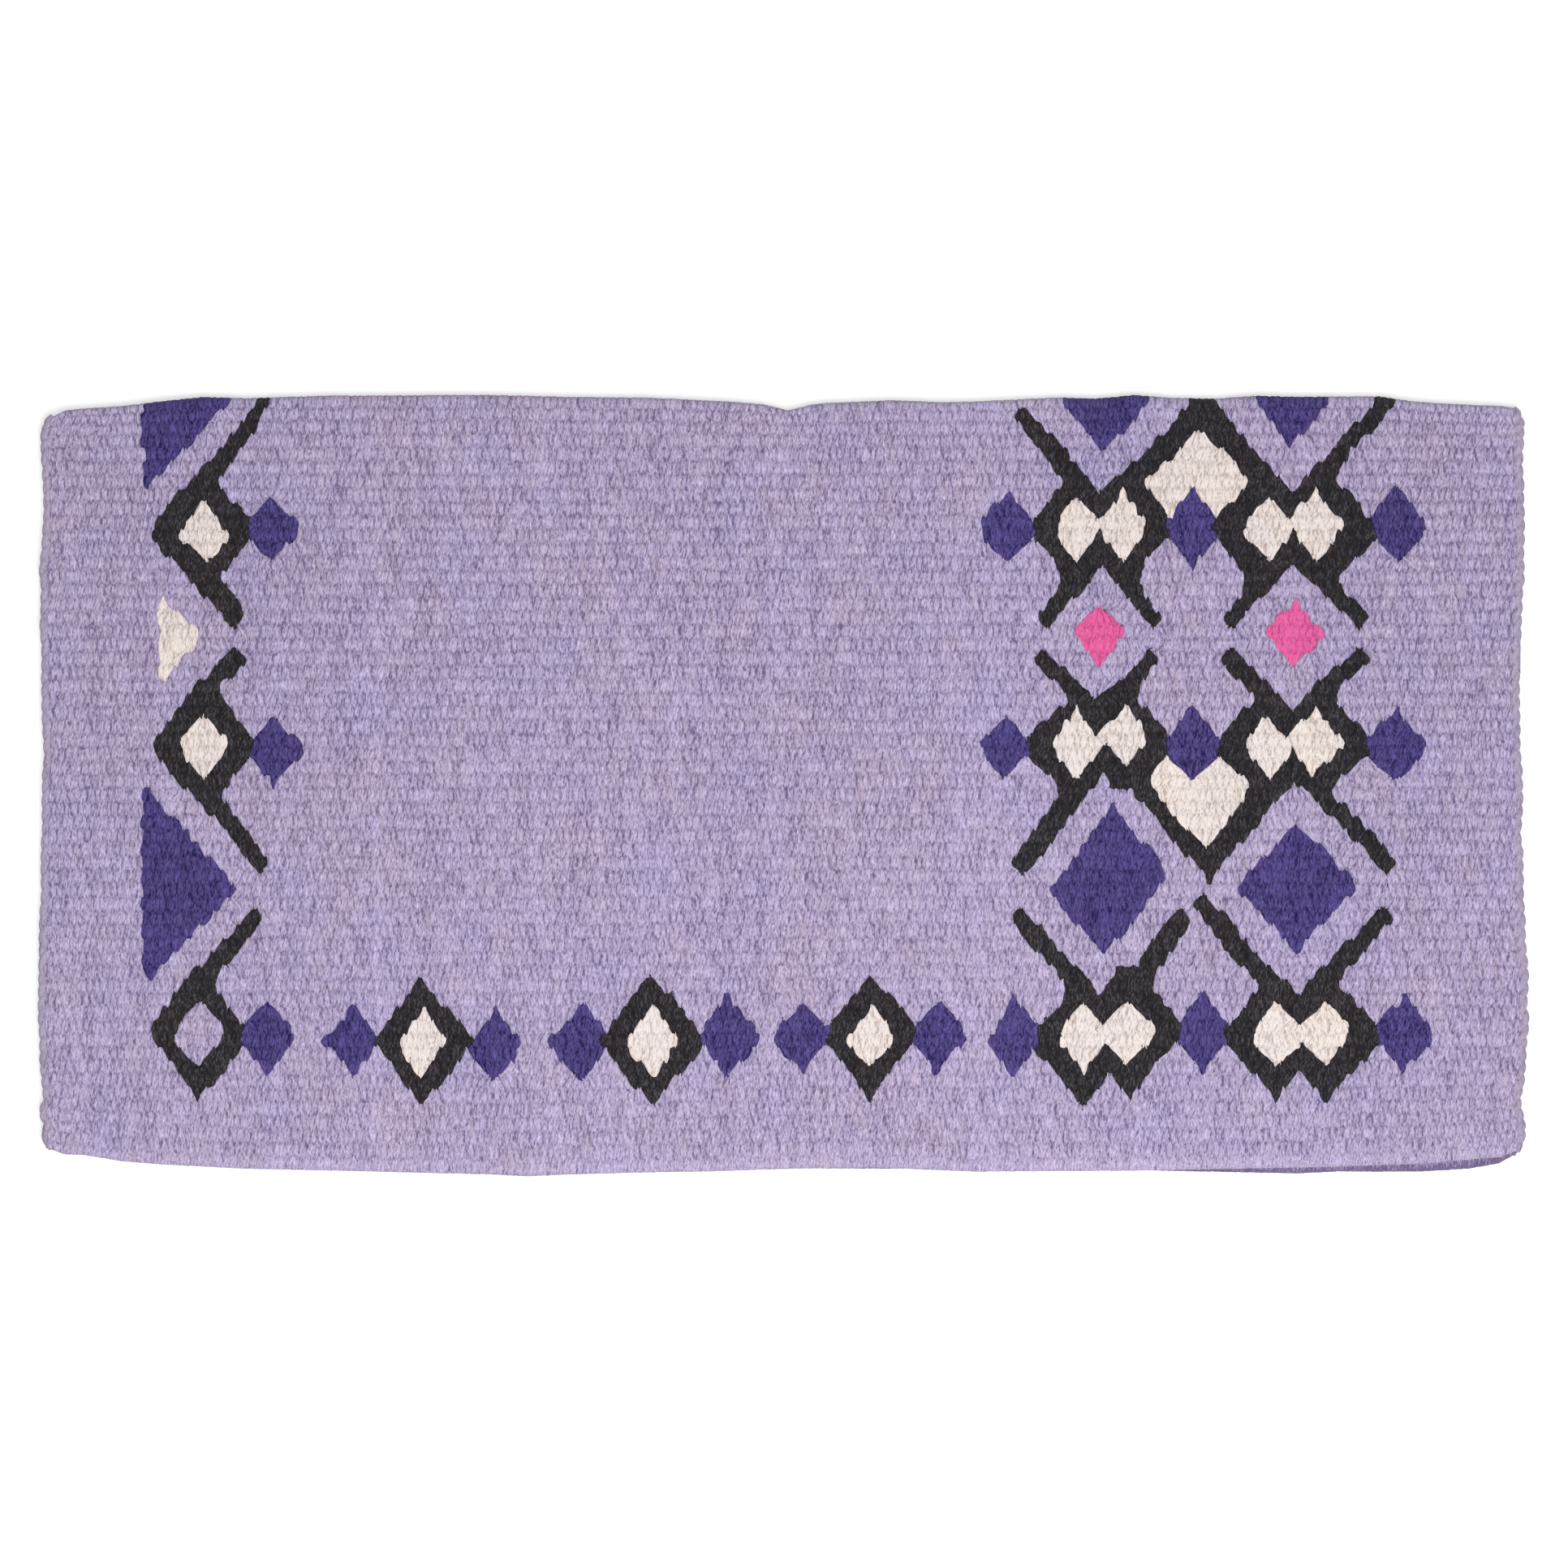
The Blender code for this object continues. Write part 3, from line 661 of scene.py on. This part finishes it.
    def piece(self, name, mine, wool):
        """One closed piece: the marked spaces of the net, on both faces, with a wall round them."""
        rows = numpy.flatnonzero(mine.any(1))
        ranks = numpy.flatnonzero(mine.any(0))
        low, high = rows[0], rows[-1] + 1
        left, right = ranks[0], ranks[-1] + 1
        mine = mine[low:high, left:right]
        lines, columns = high - low + 1, right - left + 1
        count = lines * columns
        number = numpy.arange(count).reshape(lines, columns)
        a, b, c, d = spaces(number)
        top = numpy.stack([a[mine], b[mine], c[mine], d[mine]], 1)
        bottom = top[:, ::-1] + count
        padded = numpy.pad(mine, 1)
        bare = (
            (~padded[:-2, 1:-1], a, d),
            (~padded[1:-1, :-2], b, a),
            (~padded[2:, 1:-1], c, b),
            (~padded[1:-1, 2:], d, c),
        )
        walls = []
        wall_spots = []
        spot = numpy.arange(mine.size).reshape(mine.shape)
        for empty, start, end in bare:
            edge = mine & empty
            first, last = start[edge], end[edge]
            walls.append(numpy.stack([first, last, last + count, first + count], 1))
            wall_spots.append(spot[edge])
        faces = numpy.concatenate([top, bottom, *walls])
        corners = self.corners[low:high, left:right].reshape(-1, 4, 2)
        corners = numpy.concatenate(
            [corners[spot[mine]], corners[spot[mine]][:, ::-1], *(corners[at] for at in wall_spots)]
        )
        flat = numpy.zeros(len(faces), bool)
        flat[2 * len(top) :] = True
        spots = numpy.concatenate([spot[mine], spot[mine], *wall_spots])
        window = (slice(low, high + 1), slice(left, right + 1))
        points = numpy.concatenate(
            [self.outer[window].reshape(-1, 3), self.inner[window].reshape(-1, 3)]
        )
        # The crests and the painted hem shade, for the material's painted shade
        crest_and_painted_shade = numpy.tile(self.crest_and_painted_shade[window].ravel(), 2)
        yarns = self.yarns[low:high, left:right].reshape(-1, 2)[spots]
        normals = numpy.concatenate([field[window].reshape(-1, 3) for field in self.normals])
        used, faces = numpy.unique(faces, return_inverse=True)
        faces = faces.reshape(-1, 4)
        if self.layer < 0:
            faces = faces[:, ::-1]
            corners = corners[:, ::-1]
        made = mesh_object(name, points[used], faces, flat, wool)
        made.data.normals_split_custom_set_from_vertices(normals[used])
        mark_crests(made, crest_and_painted_shade[used])
        field = made.data.attributes.new("yarn", "FLOAT_VECTOR", "FACE")
        vectors = numpy.column_stack([yarns, self.lots[low:high, left:right].ravel()[spots]])
        field.data.foreach_set("vector", vectors.astype(numpy.float32).ravel())
        layer = made.data.uv_layers.new(name="float_place")
        layer.uv.foreach_set("vector", corners.astype(numpy.float32).ravel())
        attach(made, self.name + "_side")
        return made


# The slack wool inside the fold, which spreads as the blanket opens
SLACK_KEEP = 0.07
SLACK_OVERLAP = 0.003
SLACK_GAP = 0.0015
SLACK_LEVEL = 0.0016
SLACK_DEPTH = 0.0014
SLACK_STEPS = 8
SLACK_END = 0.0022
SLACK_END_FROM = 0.4
SLACK_END_REACH = 0.027
SLACK_RELIEF_SHARE = 0.8
SLACK_GROOVE_SHARE = 0.5
SLACK_VALLEY_SHARE = 0.6


def slack(side, name, start, end, wool):
    """The wool that bunches inside the fold where the fold line stands back.

    It is drawn as it lies when the blanket is open and is then stretched away from the hinge, so
    that the squash at the open end of the joint brings it back.
    """
    columns = side.columns[start : end + 1]
    across = columns * FLOAT - WIDTH / 2
    back = along_line(FOLD_LINE, across)
    near_end = numpy.clip((numpy.abs(across) - SLACK_END_FROM) / SLACK_END_REACH, 0, 1)
    across = across + numpy.sign(across) * SLACK_END * near_end
    first = SLACK_KEEP * (back + SLACK_GAP)
    steps = numpy.linspace(0, 1, SLACK_STEPS + 1)[:, None]
    down = first + (back + SLACK_OVERLAP - first) * steps
    aside = aside_of(0, side.behind)
    valley = 1 - numpy.abs(numpy.sin(math.pi * (columns - aside)))
    groove = numpy.abs(2 * (down / RIB % 1) - 1) ** RIB_ROUNDNESS
    crest = (1 - SLACK_GROOVE_SHARE * groove) * (1 - SLACK_VALLEY_SHARE * valley)
    shape = down.shape
    wide = numpy.broadcast_to(across, shape)
    y = HINGE[1] - down / SLACK_KEEP
    shown = SLACK_LEVEL - RELIEF * SLACK_RELIEF_SHARE * crest
    hidden = numpy.full(shape, SLACK_LEVEL + SLACK_DEPTH)
    levels = [HINGE[2] + side.layer * high for high in (shown, hidden)]
    points = numpy.concatenate([numpy.stack([wide, y, z], -1).reshape(-1, 3) for z in levels])
    count = wide.size
    number = numpy.arange(count).reshape(shape)
    a, b, c, d = spaces(number)
    inner = numpy.stack([d, c, b, a], -1).reshape(-1, 4)
    outer = numpy.stack([a, b, c, d], -1).reshape(-1, 4) + count
    rim = numpy.concatenate([number[:, 0], number[-1, 1:], number[-2::-1, -1], number[0, -2:0:-1]])
    after = numpy.roll(rim, -1)
    wall = numpy.stack([rim, after, after + count, rim + count], 1)
    faces = numpy.concatenate([inner, outer, wall])
    if side.layer < 0:
        faces = faces[:, ::-1]
    flat = numpy.zeros(len(faces), bool)
    flat[-len(wall) :] = True
    made = mesh_object(name, points, faces, flat, wool)
    mark_crests(made, numpy.tile(crest.ravel(), 2))
    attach(made, side.name + "_side")
    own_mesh(made)
    return made


def mesh_object(name, points, faces, flat, wool):
    """A mesh of four-sided faces; the marked ones are flat, and the rest are smooth."""
    mesh = bpy.data.meshes.new(name)
    mesh.vertices.add(len(points))
    mesh.vertices.foreach_set("co", points.astype(numpy.float32).ravel())
    mesh.loops.add(faces.size)
    mesh.loops.foreach_set("vertex_index", faces.astype(numpy.int32).ravel())
    mesh.polygons.add(len(faces))
    mesh.polygons.foreach_set("loop_start", numpy.arange(0, faces.size, 4, dtype=numpy.int32))
    mesh.update(calc_edges=True)
    mesh.polygons.foreach_set("use_smooth", ~flat)
    mesh.materials.append(MATERIALS[wool])
    return placed(name, mesh)


def placed(name, data):
    """An object of a mesh, lamp or camera, in the scene."""
    made = bpy.data.objects.new(name, data)
    bpy.context.scene.collection.objects.link(made)
    return made


def mark_crests(made, heights):
    """How high each point lies on its float, for the material's painted shade; on the off side's last
    rib it is lowered by the painted hem shade.
    """
    field = made.data.attributes.new("crest", "FLOAT", "POINT")
    field.data.foreach_set("value", heights.astype(numpy.float32))


# The edge cords: two strands twisted together. The lumps and the wander have a size and a reach, and
# the curl in at the fold has a start and a reach
STRANDS = 2
STRAND = {"left": 0.0026, "right": 0.0023}
STRAND_SIDES = 10
STRAND_LUMPS = (0.08, 0.006)
TWIST_RADIUS = {"left": 0.0008, "right": 0.0013}
TWIST_START = {"left": 0, "right": 1}
TWIST = 2 * RIB
TWIST_STEPS = 18
TWIST_FLATNESS = 0.8
CORD_PLACE = 0.4285
CORD_GAP = 0.002
CORD_WANDER = (0.0006, 0.05)
CORD_CURL = 0.006
CORD_SEED = 5
STRAND_SEED = 9
HEM_CURL_REACH = 0.012
FOLD_CURL = (0.016, 0.014)


def tube(path, radius):
    """The points, faces and rings of a round yarn along a path."""
    ahead = numpy.gradient(path, axis=0)
    ahead /= numpy.linalg.norm(ahead, axis=1)[:, None]
    side = numpy.cross(ahead, (0.0, 0.0, 1.0))
    side /= numpy.linalg.norm(side, axis=1)[:, None]
    over = numpy.cross(side, ahead)
    turn = (2 * math.pi * numpy.arange(STRAND_SIDES) / STRAND_SIDES)[None, :, None]
    ring = numpy.cos(turn) * side[:, None] + numpy.sin(turn) * over[:, None]
    points = (path[:, None] + radius[:, None, None] * ring).reshape(-1, 3)
    number = numpy.arange(len(points)).reshape(-1, STRAND_SIDES)
    after = numpy.roll(number, -1, 1)
    faces = numpy.stack([number[:-1], number[1:], after[1:], after[:-1]], -1).reshape(-1, 4)
    return points, faces, number


def joined(name, tubes):
    """Several tubes as one object, each closed at its ends."""
    points = []
    corners = []
    for place, faces, number in tubes:
        ends = (number[0], number[-1][::-1])
        corners += [(face + len(points)).tolist() for face in (*faces, *ends)]
        points += place.tolist()
    mesh = bpy.data.meshes.new(name)
    mesh.from_pydata(points, [], corners)
    mesh.update()
    mesh.shade_smooth()
    mesh.materials.append(MATERIALS[CORD])
    return placed(name, mesh)


def edge_cord(side, end):
    """The cord twined along a cut end of the ribs, which curls in at the fold and the hem."""
    sign = -1 if end == "left" else 1
    reach = DROP - CORD_GAP
    steps = round(reach / TWIST * TWIST_STEPS)
    down = numpy.linspace(CORD_GAP, reach, steps + 1)
    turn = 2 * math.pi * down / TWIST + TWIST_START[end]
    wander_size, wander_reach = CORD_WANDER
    wander = wander_size * smooth_noise(down, CORD_SEED + sign, wander_reach)
    fold_from, fold_reach = FOLD_CURL
    curl = numpy.clip((down - (DROP - HEM_CURL_REACH)) / HEM_CURL_REACH, 0, 1) ** 2 / 2
    curl += numpy.clip((fold_from - down) / fold_reach, 0, 1) ** 2 / 2
    twist = TWIST_RADIUS[end]
    lumps, lump_reach = STRAND_LUMPS
    tubes = []
    for strand in range(STRANDS):
        angle = turn + 2 * math.pi * strand / STRANDS
        across = sign * (CORD_PLACE - CORD_CURL * curl) + wander + twist * numpy.cos(angle)
        high = CLEARANCE / 2 + THICKNESS / 2 + TWIST_FLATNESS * twist * numpy.sin(angle)
        radius = STRAND[end] * (1 + lumps * smooth_noise(down, STRAND_SEED + strand, lump_reach))
        tubes.append(tube(side.in_frame(across, down, high), radius))
    made = joined(f"{side.name}_{end}_edge_cord_yarn", tubes)
    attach(made, side.name + "_side")
    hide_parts(f"{side.name}_{end}_edge_cord")
    return made


# Noise in the wool, as its scale, its stretch along the floats and its detail
STREAKS = (700, (1, 0.32, 1), 2)
FIBRES = (1500, (1, 0.3, 1), 2)
DASHES = (420, (1, 0.3, 1), 1)
CLOUDS = (14, (1, 0.6, 1), 2)
TINTS = (260, (1, 0.3, 1), 2)
HUES = (38, (1, 0.8, 1), 1)
STRAND_DRIFT = (130, (1, 0.6, 1), 1)

# How much each of these changes the tone, times the wool's contrast
STREAK_TONE = 2.4
FIBRE_TONE = 6
# The strand tone is painted shade between the two strands of a float, with a lighter tone on their tops
STRAND_TONE = 0.8
DASH_TONE = -1.4
CLOUD_TONE = 0.15
STRAND_MIDDLE = 0.7
# Wool lower on its float than this is coloured with painted shade, and higher wool lighter
CREST_MIDDLE = 0.75

# Where dashes start and how fast they grow, and the same for flecks, with the most they cover
DASH_RISE = (0.6, 6)
FLECK_RISE = (0.58, 4)
FLECK_SHARE = 0.45
FLECKS_BY_FLOAT = 0.15

# The two strands in each float: their number, their twist and how far they drift
FLOAT_STRANDS = 2
STRAND_TWIST = 0.7
STRAND_STRAY = 1.6

# The slow change of hue over the cloth
HUE_DRIFT = 1.3
COOLER = (0.965, 0.985, 1.05)
WARMER = (1.035, 1.015, 0.95)

# The finest relief, and the finish of all wool
STRAND_RELIEF = 0.45
STREAK_RELIEF = 1.5
FIBRE_RELIEF = 1.6
BUMP_STRENGTH = 0.7
BUMP_DISTANCE = 0.0006
WOOL_ROUGHNESS = 0.95
WOOL_SPECULAR = 0.2
SHEEN_ROUGHNESS = 0.6

# Each wool's look: how much darker and lighter its strokes go, its flecks' colour and the rest
WOOL_LOOKS = {
    LAVENDER: dict(dark=0.42, light=1.65, flecks=(0.50, 0.40, 0.47), sheen=0.25),
    VIOLET: dict(dark=0.36, light=1.85, flecks=(0.11, 0.07, 0.26), contrast=0.3),
    BLACK: dict(dark=0.35, light=3.6, flecks=(0.05, 0.036, 0.034), contrast=0.4),
    IVORY: dict(dark=0.55, light=1.12, flecks=(0.70, 0.58, 0.53), contrast=0.23, sheen=0.03),
    PINK: dict(dark=0.66, light=1.25, flecks=(0.80, 0.25, 0.47), depth=0.2),
    CORD: dict(dark=0.6, light=1.25, flecks=(0.42, 0.36, 0.42), painted_pit_shade=0),
}


def shader_node(tree, kind, **settings):
    """A new node of a material or the world."""
    made = tree.nodes.new("ShaderNode" + kind)
    for name, value in settings.items():
        setattr(made, name, value)
    return made


def sums(tree, operation, first, second=0):
    """The result of a sum of two inputs, each a socket or a number."""
    made = shader_node(tree, "Math", operation=operation)
    for socket, value in zip(made.inputs, (first, second)):
        if isinstance(value, (int, float)):
            socket.default_value = value
        else:
            tree.links.new(value, socket)
    return made.outputs[0]


def beyond(tree, value, middle, amount):
    """How far a value lies beyond a middle, times an amount."""
    return sums(tree, "MULTIPLY", sums(tree, "SUBTRACT", value, middle), amount)


def clamped(socket):
    """The same result, kept from 0 to 1."""
    socket.node.use_clamp = True
    return socket


def mixed(tree, factor, first, second, blend="MIX"):
    """Two colours mixed; the factor and the colours are sockets or values."""
    made = shader_node(tree, "Mix", data_type="RGBA", blend_type=blend)
    for name, value in (("Factor", factor), ("A", first), ("B", second)):
        if isinstance(value, bpy.types.NodeSocket):
            tree.links.new(value, made.inputs[name])
        else:
            made.inputs[name].default_value = value
    return made.outputs["Result"]


def noise(tree, place, scale, stretch, detail):
    """Noise stretched along the floats, as yarn is."""
    mapping = shader_node(tree, "Mapping")
    mapping.inputs["Scale"].default_value = stretch
    tree.links.new(place, mapping.inputs["Vector"])
    made = shader_node(tree, "TexNoise")
    made.inputs["Scale"].default_value = scale
    made.inputs["Detail"].default_value = detail
    tree.links.new(mapping.outputs["Vector"], made.inputs["Vector"])
    return made.outputs["Fac"]


def own_place(tree, place, lot):
    """Places in the cloth's plane, on a level of their own for each float."""
    parts = shader_node(tree, "SeparateXYZ")
    tree.links.new(place, parts.inputs[0])
    made = shader_node(tree, "CombineXYZ")
    for socket, value in zip(made.inputs, (parts.outputs[0], parts.outputs[1], lot)):
        tree.links.new(value, socket)
    return made.outputs[0]


def strand_height(tree, place):
    """Two strands twisted side by side in each float: 1 on top of a strand and 0 between."""
    spot = shader_node(tree, "UVMap", uv_map="float_place")
    parts = shader_node(tree, "SeparateXYZ")
    tree.links.new(spot.outputs["UV"], parts.inputs[0])
    across = sums(tree, "MULTIPLY", parts.outputs[0], FLOAT_STRANDS)
    across = sums(tree, "ADD", across, beyond(tree, parts.outputs[1], 0.5, STRAND_TWIST))
    stray = beyond(tree, noise(tree, place, *STRAND_DRIFT), 0.5, STRAND_STRAY)
    across = sums(tree, "ADD", across, stray)
    wave = sums(tree, "SINE", sums(tree, "MULTIPLY", across, math.pi))
    return sums(tree, "ABSOLUTE", wave)


def wool_tone(tree, place, shade, lot, marks, contrast, painted_pit_shade):
    """How light the wool is: each float's own shade, streaks along the yarn, painted shade between the
    strands, and painted shade in the pits with a lighter tone on the crests.
    """
    streaks, fibres, strands = marks
    dashes = noise(tree, own_place(tree, place, lot), *DASHES)
    dashes = clamped(beyond(tree, dashes, *DASH_RISE))
    crest = shader_node(tree, "Attribute", attribute_name="crest").outputs["Fac"]
    tone = sums(tree, "MULTIPLY_ADD", shade, contrast)
    tone.node.inputs[2].default_value = 0.5
    for source, middle, amount in (
        (streaks, 0.5, STREAK_TONE * contrast),
        (fibres, 0.5, FIBRE_TONE * contrast),
        # Painted shade between the strands of each float, lighter on their tops
        (strands, STRAND_MIDDLE, STRAND_TONE * contrast),
        (dashes, 0, DASH_TONE * contrast),
        (noise(tree, place, *CLOUDS), 0.5, CLOUD_TONE * contrast),
        # Painted shade in the pits between floats and ribs and on the off side's last rib, lighter on
        # the crests
        (crest, CREST_MIDDLE, painted_pit_shade),
    ):
        tone = sums(tree, "ADD", tone, beyond(tree, source, middle, amount))
    return tone


def ramp(tree, tone, colours):
    """The colour of a tone from 0 to 1, from three colours evenly apart."""
    made = shader_node(tree, "ValToRGB")
    stops = made.color_ramp.elements
    stops.new(1)
    for stop, at, colour in zip(stops, (0, 0.5, 1), colours):
        stop.position = at
        stop.color = (*colour, 1)
    tree.links.new(tone, made.inputs["Fac"])
    return made.outputs["Color"]


def flecked(tree, place, tint, shown, flecks):
    """A colour with flecks of another, more of them in some floats."""
    amount = sums(tree, "MULTIPLY", tint, FLECKS_BY_FLOAT)
    amount = sums(tree, "ADD", amount, noise(tree, place, *TINTS))
    amount = clamped(beyond(tree, amount, *FLECK_RISE))
    return mixed(tree, sums(tree, "MULTIPLY", amount, FLECK_SHARE), shown, (*flecks, 1))


def drifting(tree, place, shown):
    """A colour whose hue drifts a little over the cloth."""
    hue = sums(tree, "ADD", beyond(tree, noise(tree, place, *HUES), 0.5, HUE_DRIFT), 0.5)
    drift = mixed(tree, clamped(hue), (*COOLER, 1), (*WARMER, 1))
    return mixed(tree, 1, shown, drift, "MULTIPLY")


def wool_relief(tree, marks):
    """The finest relief of the yarn, as a bump."""
    streaks, fibres, strands = marks
    height = sums(tree, "MULTIPLY", strands, STRAND_RELIEF)
    height = sums(tree, "ADD", height, sums(tree, "MULTIPLY", streaks, STREAK_RELIEF))
    height = sums(tree, "ADD", height, sums(tree, "MULTIPLY", fibres, FIBRE_RELIEF))
    bump = shader_node(tree, "Bump")
    bump.inputs["Strength"].default_value = BUMP_STRENGTH
    bump.inputs["Distance"].default_value = BUMP_DISTANCE
    tree.links.new(height, bump.inputs["Height"])
    return bump.outputs["Normal"]


# The last setting is how strongly painted shade darkens the pits between floats and ribs
def wool_material(
    name, colour, dark, light, flecks, contrast=0.25, sheen=0.05, depth=0.9, painted_pit_shade=0.5
):
    """Spun wool of one colour."""
    made = bpy.data.materials.new(name)
    made.use_nodes = True
    tree = made.node_tree
    shader = tree.nodes["Principled BSDF"]
    place = shader_node(tree, "TexCoord").outputs["Object"]
    parts = shader_node(tree, "SeparateXYZ")
    yarn = shader_node(tree, "Attribute", attribute_name="yarn")
    tree.links.new(yarn.outputs["Vector"], parts.inputs[0])
    shade, tint, lot = parts.outputs
    streaks = noise(tree, own_place(tree, place, lot), *STREAKS)
    marks = (streaks, noise(tree, place, *FIBRES), strand_height(tree, place))
    tone = wool_tone(tree, place, shade, lot, marks, contrast, painted_pit_shade)
    shown = ramp(tree, tone, strokes(colour, dark, light, depth))
    shown = drifting(tree, place, flecked(tree, place, tint, shown, flecks))
    tree.links.new(shown, shader.inputs["Base Color"])
    tree.links.new(wool_relief(tree, marks), shader.inputs["Normal"])
    shader.inputs["Roughness"].default_value = WOOL_ROUGHNESS
    shader.inputs["Specular IOR Level"].default_value = WOOL_SPECULAR
    shader.inputs["Sheen Weight"].default_value = sheen
    shader.inputs["Sheen Roughness"].default_value = SHEEN_ROUGHNESS
    return made


def strokes(colour, dark, light, depth):
    """Three colours of one wool: its deeper strokes, its own colour and its lighter ones."""
    most = max(colour)
    low = tuple(channel * dark * (channel / most) ** depth for channel in colour)
    high = tuple(min(channel * light, 1) for channel in colour)
    return low, colour, high


MATERIALS = {wool: wool_material(*wool, **look) for wool, look in WOOL_LOOKS.items()}


def weave_side(side):
    """A side's ground, figures, cords and slack, each in the place of its node if it has one."""
    figures = []
    for number, (name, (wool, *_)) in enumerate(DRAFT_SHARES.items(), 1):
        mine = side.owner == number
        if not mine.any():
            continue
        made = side.piece(f"{side.name}_{name}", mine, wool)
        if not side.behind:
            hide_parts(name)
        figures.append(made)
    ground = side.piece(f"{side.name}_ground_weave", side.owner == 0, LAVENDER)
    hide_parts(f"{side.name}_ground")
    cords = [edge_cord(side, end) for end in ("left", "right")]
    row = side.owner[0]
    ends = [0, *(numpy.flatnonzero(row[1:] != row[:-1]) + 1), len(row)]
    wools = [LAVENDER, *(wool for wool, *_ in DRAFT_SHARES.values())]
    for count, (start, end) in enumerate(zip(ends, ends[1:]), 1):
        wool = wools[row[start]]
        slack(side, f"{side.name}_fold_slack_{count}", start, end, wool)
    return ground, figures, cords


for side in (
    Side("near", 0, FINE_NET, HEM_LINE, seed=11),
    Side("off", 1, PLAIN_NET, OFF_HEM_LINE, seed=12),
):
    ground, figures, cords = weave_side(side)


# The floor, the light and the camera
FLOOR_SIZE = 8
FLOOR_COLOUR = 0.8
FLOOR_GLOW = 0.45
WORLD_LIGHT = 0.5
WORLD_SEEN = 0.5
LAMP_PLACE = (0.2, -0.5, 1.9)
LAMP_SIZE = 1.2
LAMP_POWER = 30
VIEW_ACROSS = 0.9122
VIEW_MIDDLE = (0.00047, -0.00092, 0.0139)
VIEW_FROM = 4
VIEW_END = 20


def floor_material():
    """A pale surface that the camera sees lighter than it lights the object."""
    made = bpy.data.materials.new("floor")
    made.use_nodes = True
    tree = made.node_tree
    tree.nodes.remove(tree.nodes["Principled BSDF"])
    matt = shader_node(tree, "BsdfDiffuse")
    matt.inputs["Color"].default_value = (FLOOR_COLOUR, FLOOR_COLOUR, FLOOR_COLOUR, 1)
    light = shader_node(tree, "Emission")
    seen = shader_node(tree, "LightPath").outputs["Is Camera Ray"]
    tree.links.new(sums(tree, "MULTIPLY", seen, FLOOR_GLOW), light.inputs["Strength"])
    both = shader_node(tree, "AddShader")
    tree.links.new(matt.outputs[0], both.inputs[0])
    tree.links.new(light.outputs[0], both.inputs[1])
    tree.links.new(both.outputs[0], tree.nodes["Material Output"].inputs["Surface"])
    return made


def floor():
    """The white ground that the blanket lies on."""
    half = FLOOR_SIZE / 2
    mesh = bpy.data.meshes.new("floor")
    corners = [(-half, -half, 0), (half, -half, 0), (half, half, 0), (-half, half, 0)]
    mesh.from_pydata(corners, [], [(0, 1, 2, 3)])
    mesh.materials.append(floor_material())
    placed("floor", mesh)


def lamp():
    """One broad lamp overhead, a little towards the hem."""
    data = bpy.data.lights.new("key", "AREA")
    data.shape = "DISK"
    data.size = LAMP_SIZE
    data.energy = LAMP_POWER
    made = placed("key", data)
    made.location = LAMP_PLACE
    made.rotation_euler = (-Vector(LAMP_PLACE)).to_track_quat("-Z", "Y").to_euler()


def surroundings():
    """A plain world, which the camera, reflections and glass see as white."""
    world = bpy.data.worlds.new("studio")
    world.use_nodes = True
    tree = world.node_tree
    light = tree.nodes["Background"]
    path = shader_node(tree, "LightPath")
    seen = sums(tree, "MAXIMUM", path.outputs["Is Camera Ray"], path.outputs["Is Glossy Ray"])
    seen = sums(tree, "MAXIMUM", seen, path.outputs["Is Transmission Ray"])
    strength = sums(tree, "MULTIPLY_ADD", seen, WORLD_SEEN)
    strength.node.inputs[2].default_value = WORLD_LIGHT
    tree.links.new(strength, light.inputs["Strength"])
    light.inputs["Color"].default_value = (1, 1, 1, 1)
    bpy.context.scene.world = world


def camera():
    """The camera, straight above the blanket."""
    data = bpy.data.cameras.new("camera")
    data.lens = data.sensor_width * VIEW_FROM / VIEW_ACROSS
    data.clip_end = VIEW_END
    made = placed("camera", data)
    made.location = Vector(VIEW_MIDDLE) + Vector((0, 0, VIEW_FROM))
    bpy.context.scene.camera = made


floor()
lamp()
surroundings()
camera()
bpy.context.scene.view_settings.view_transform = "Standard"
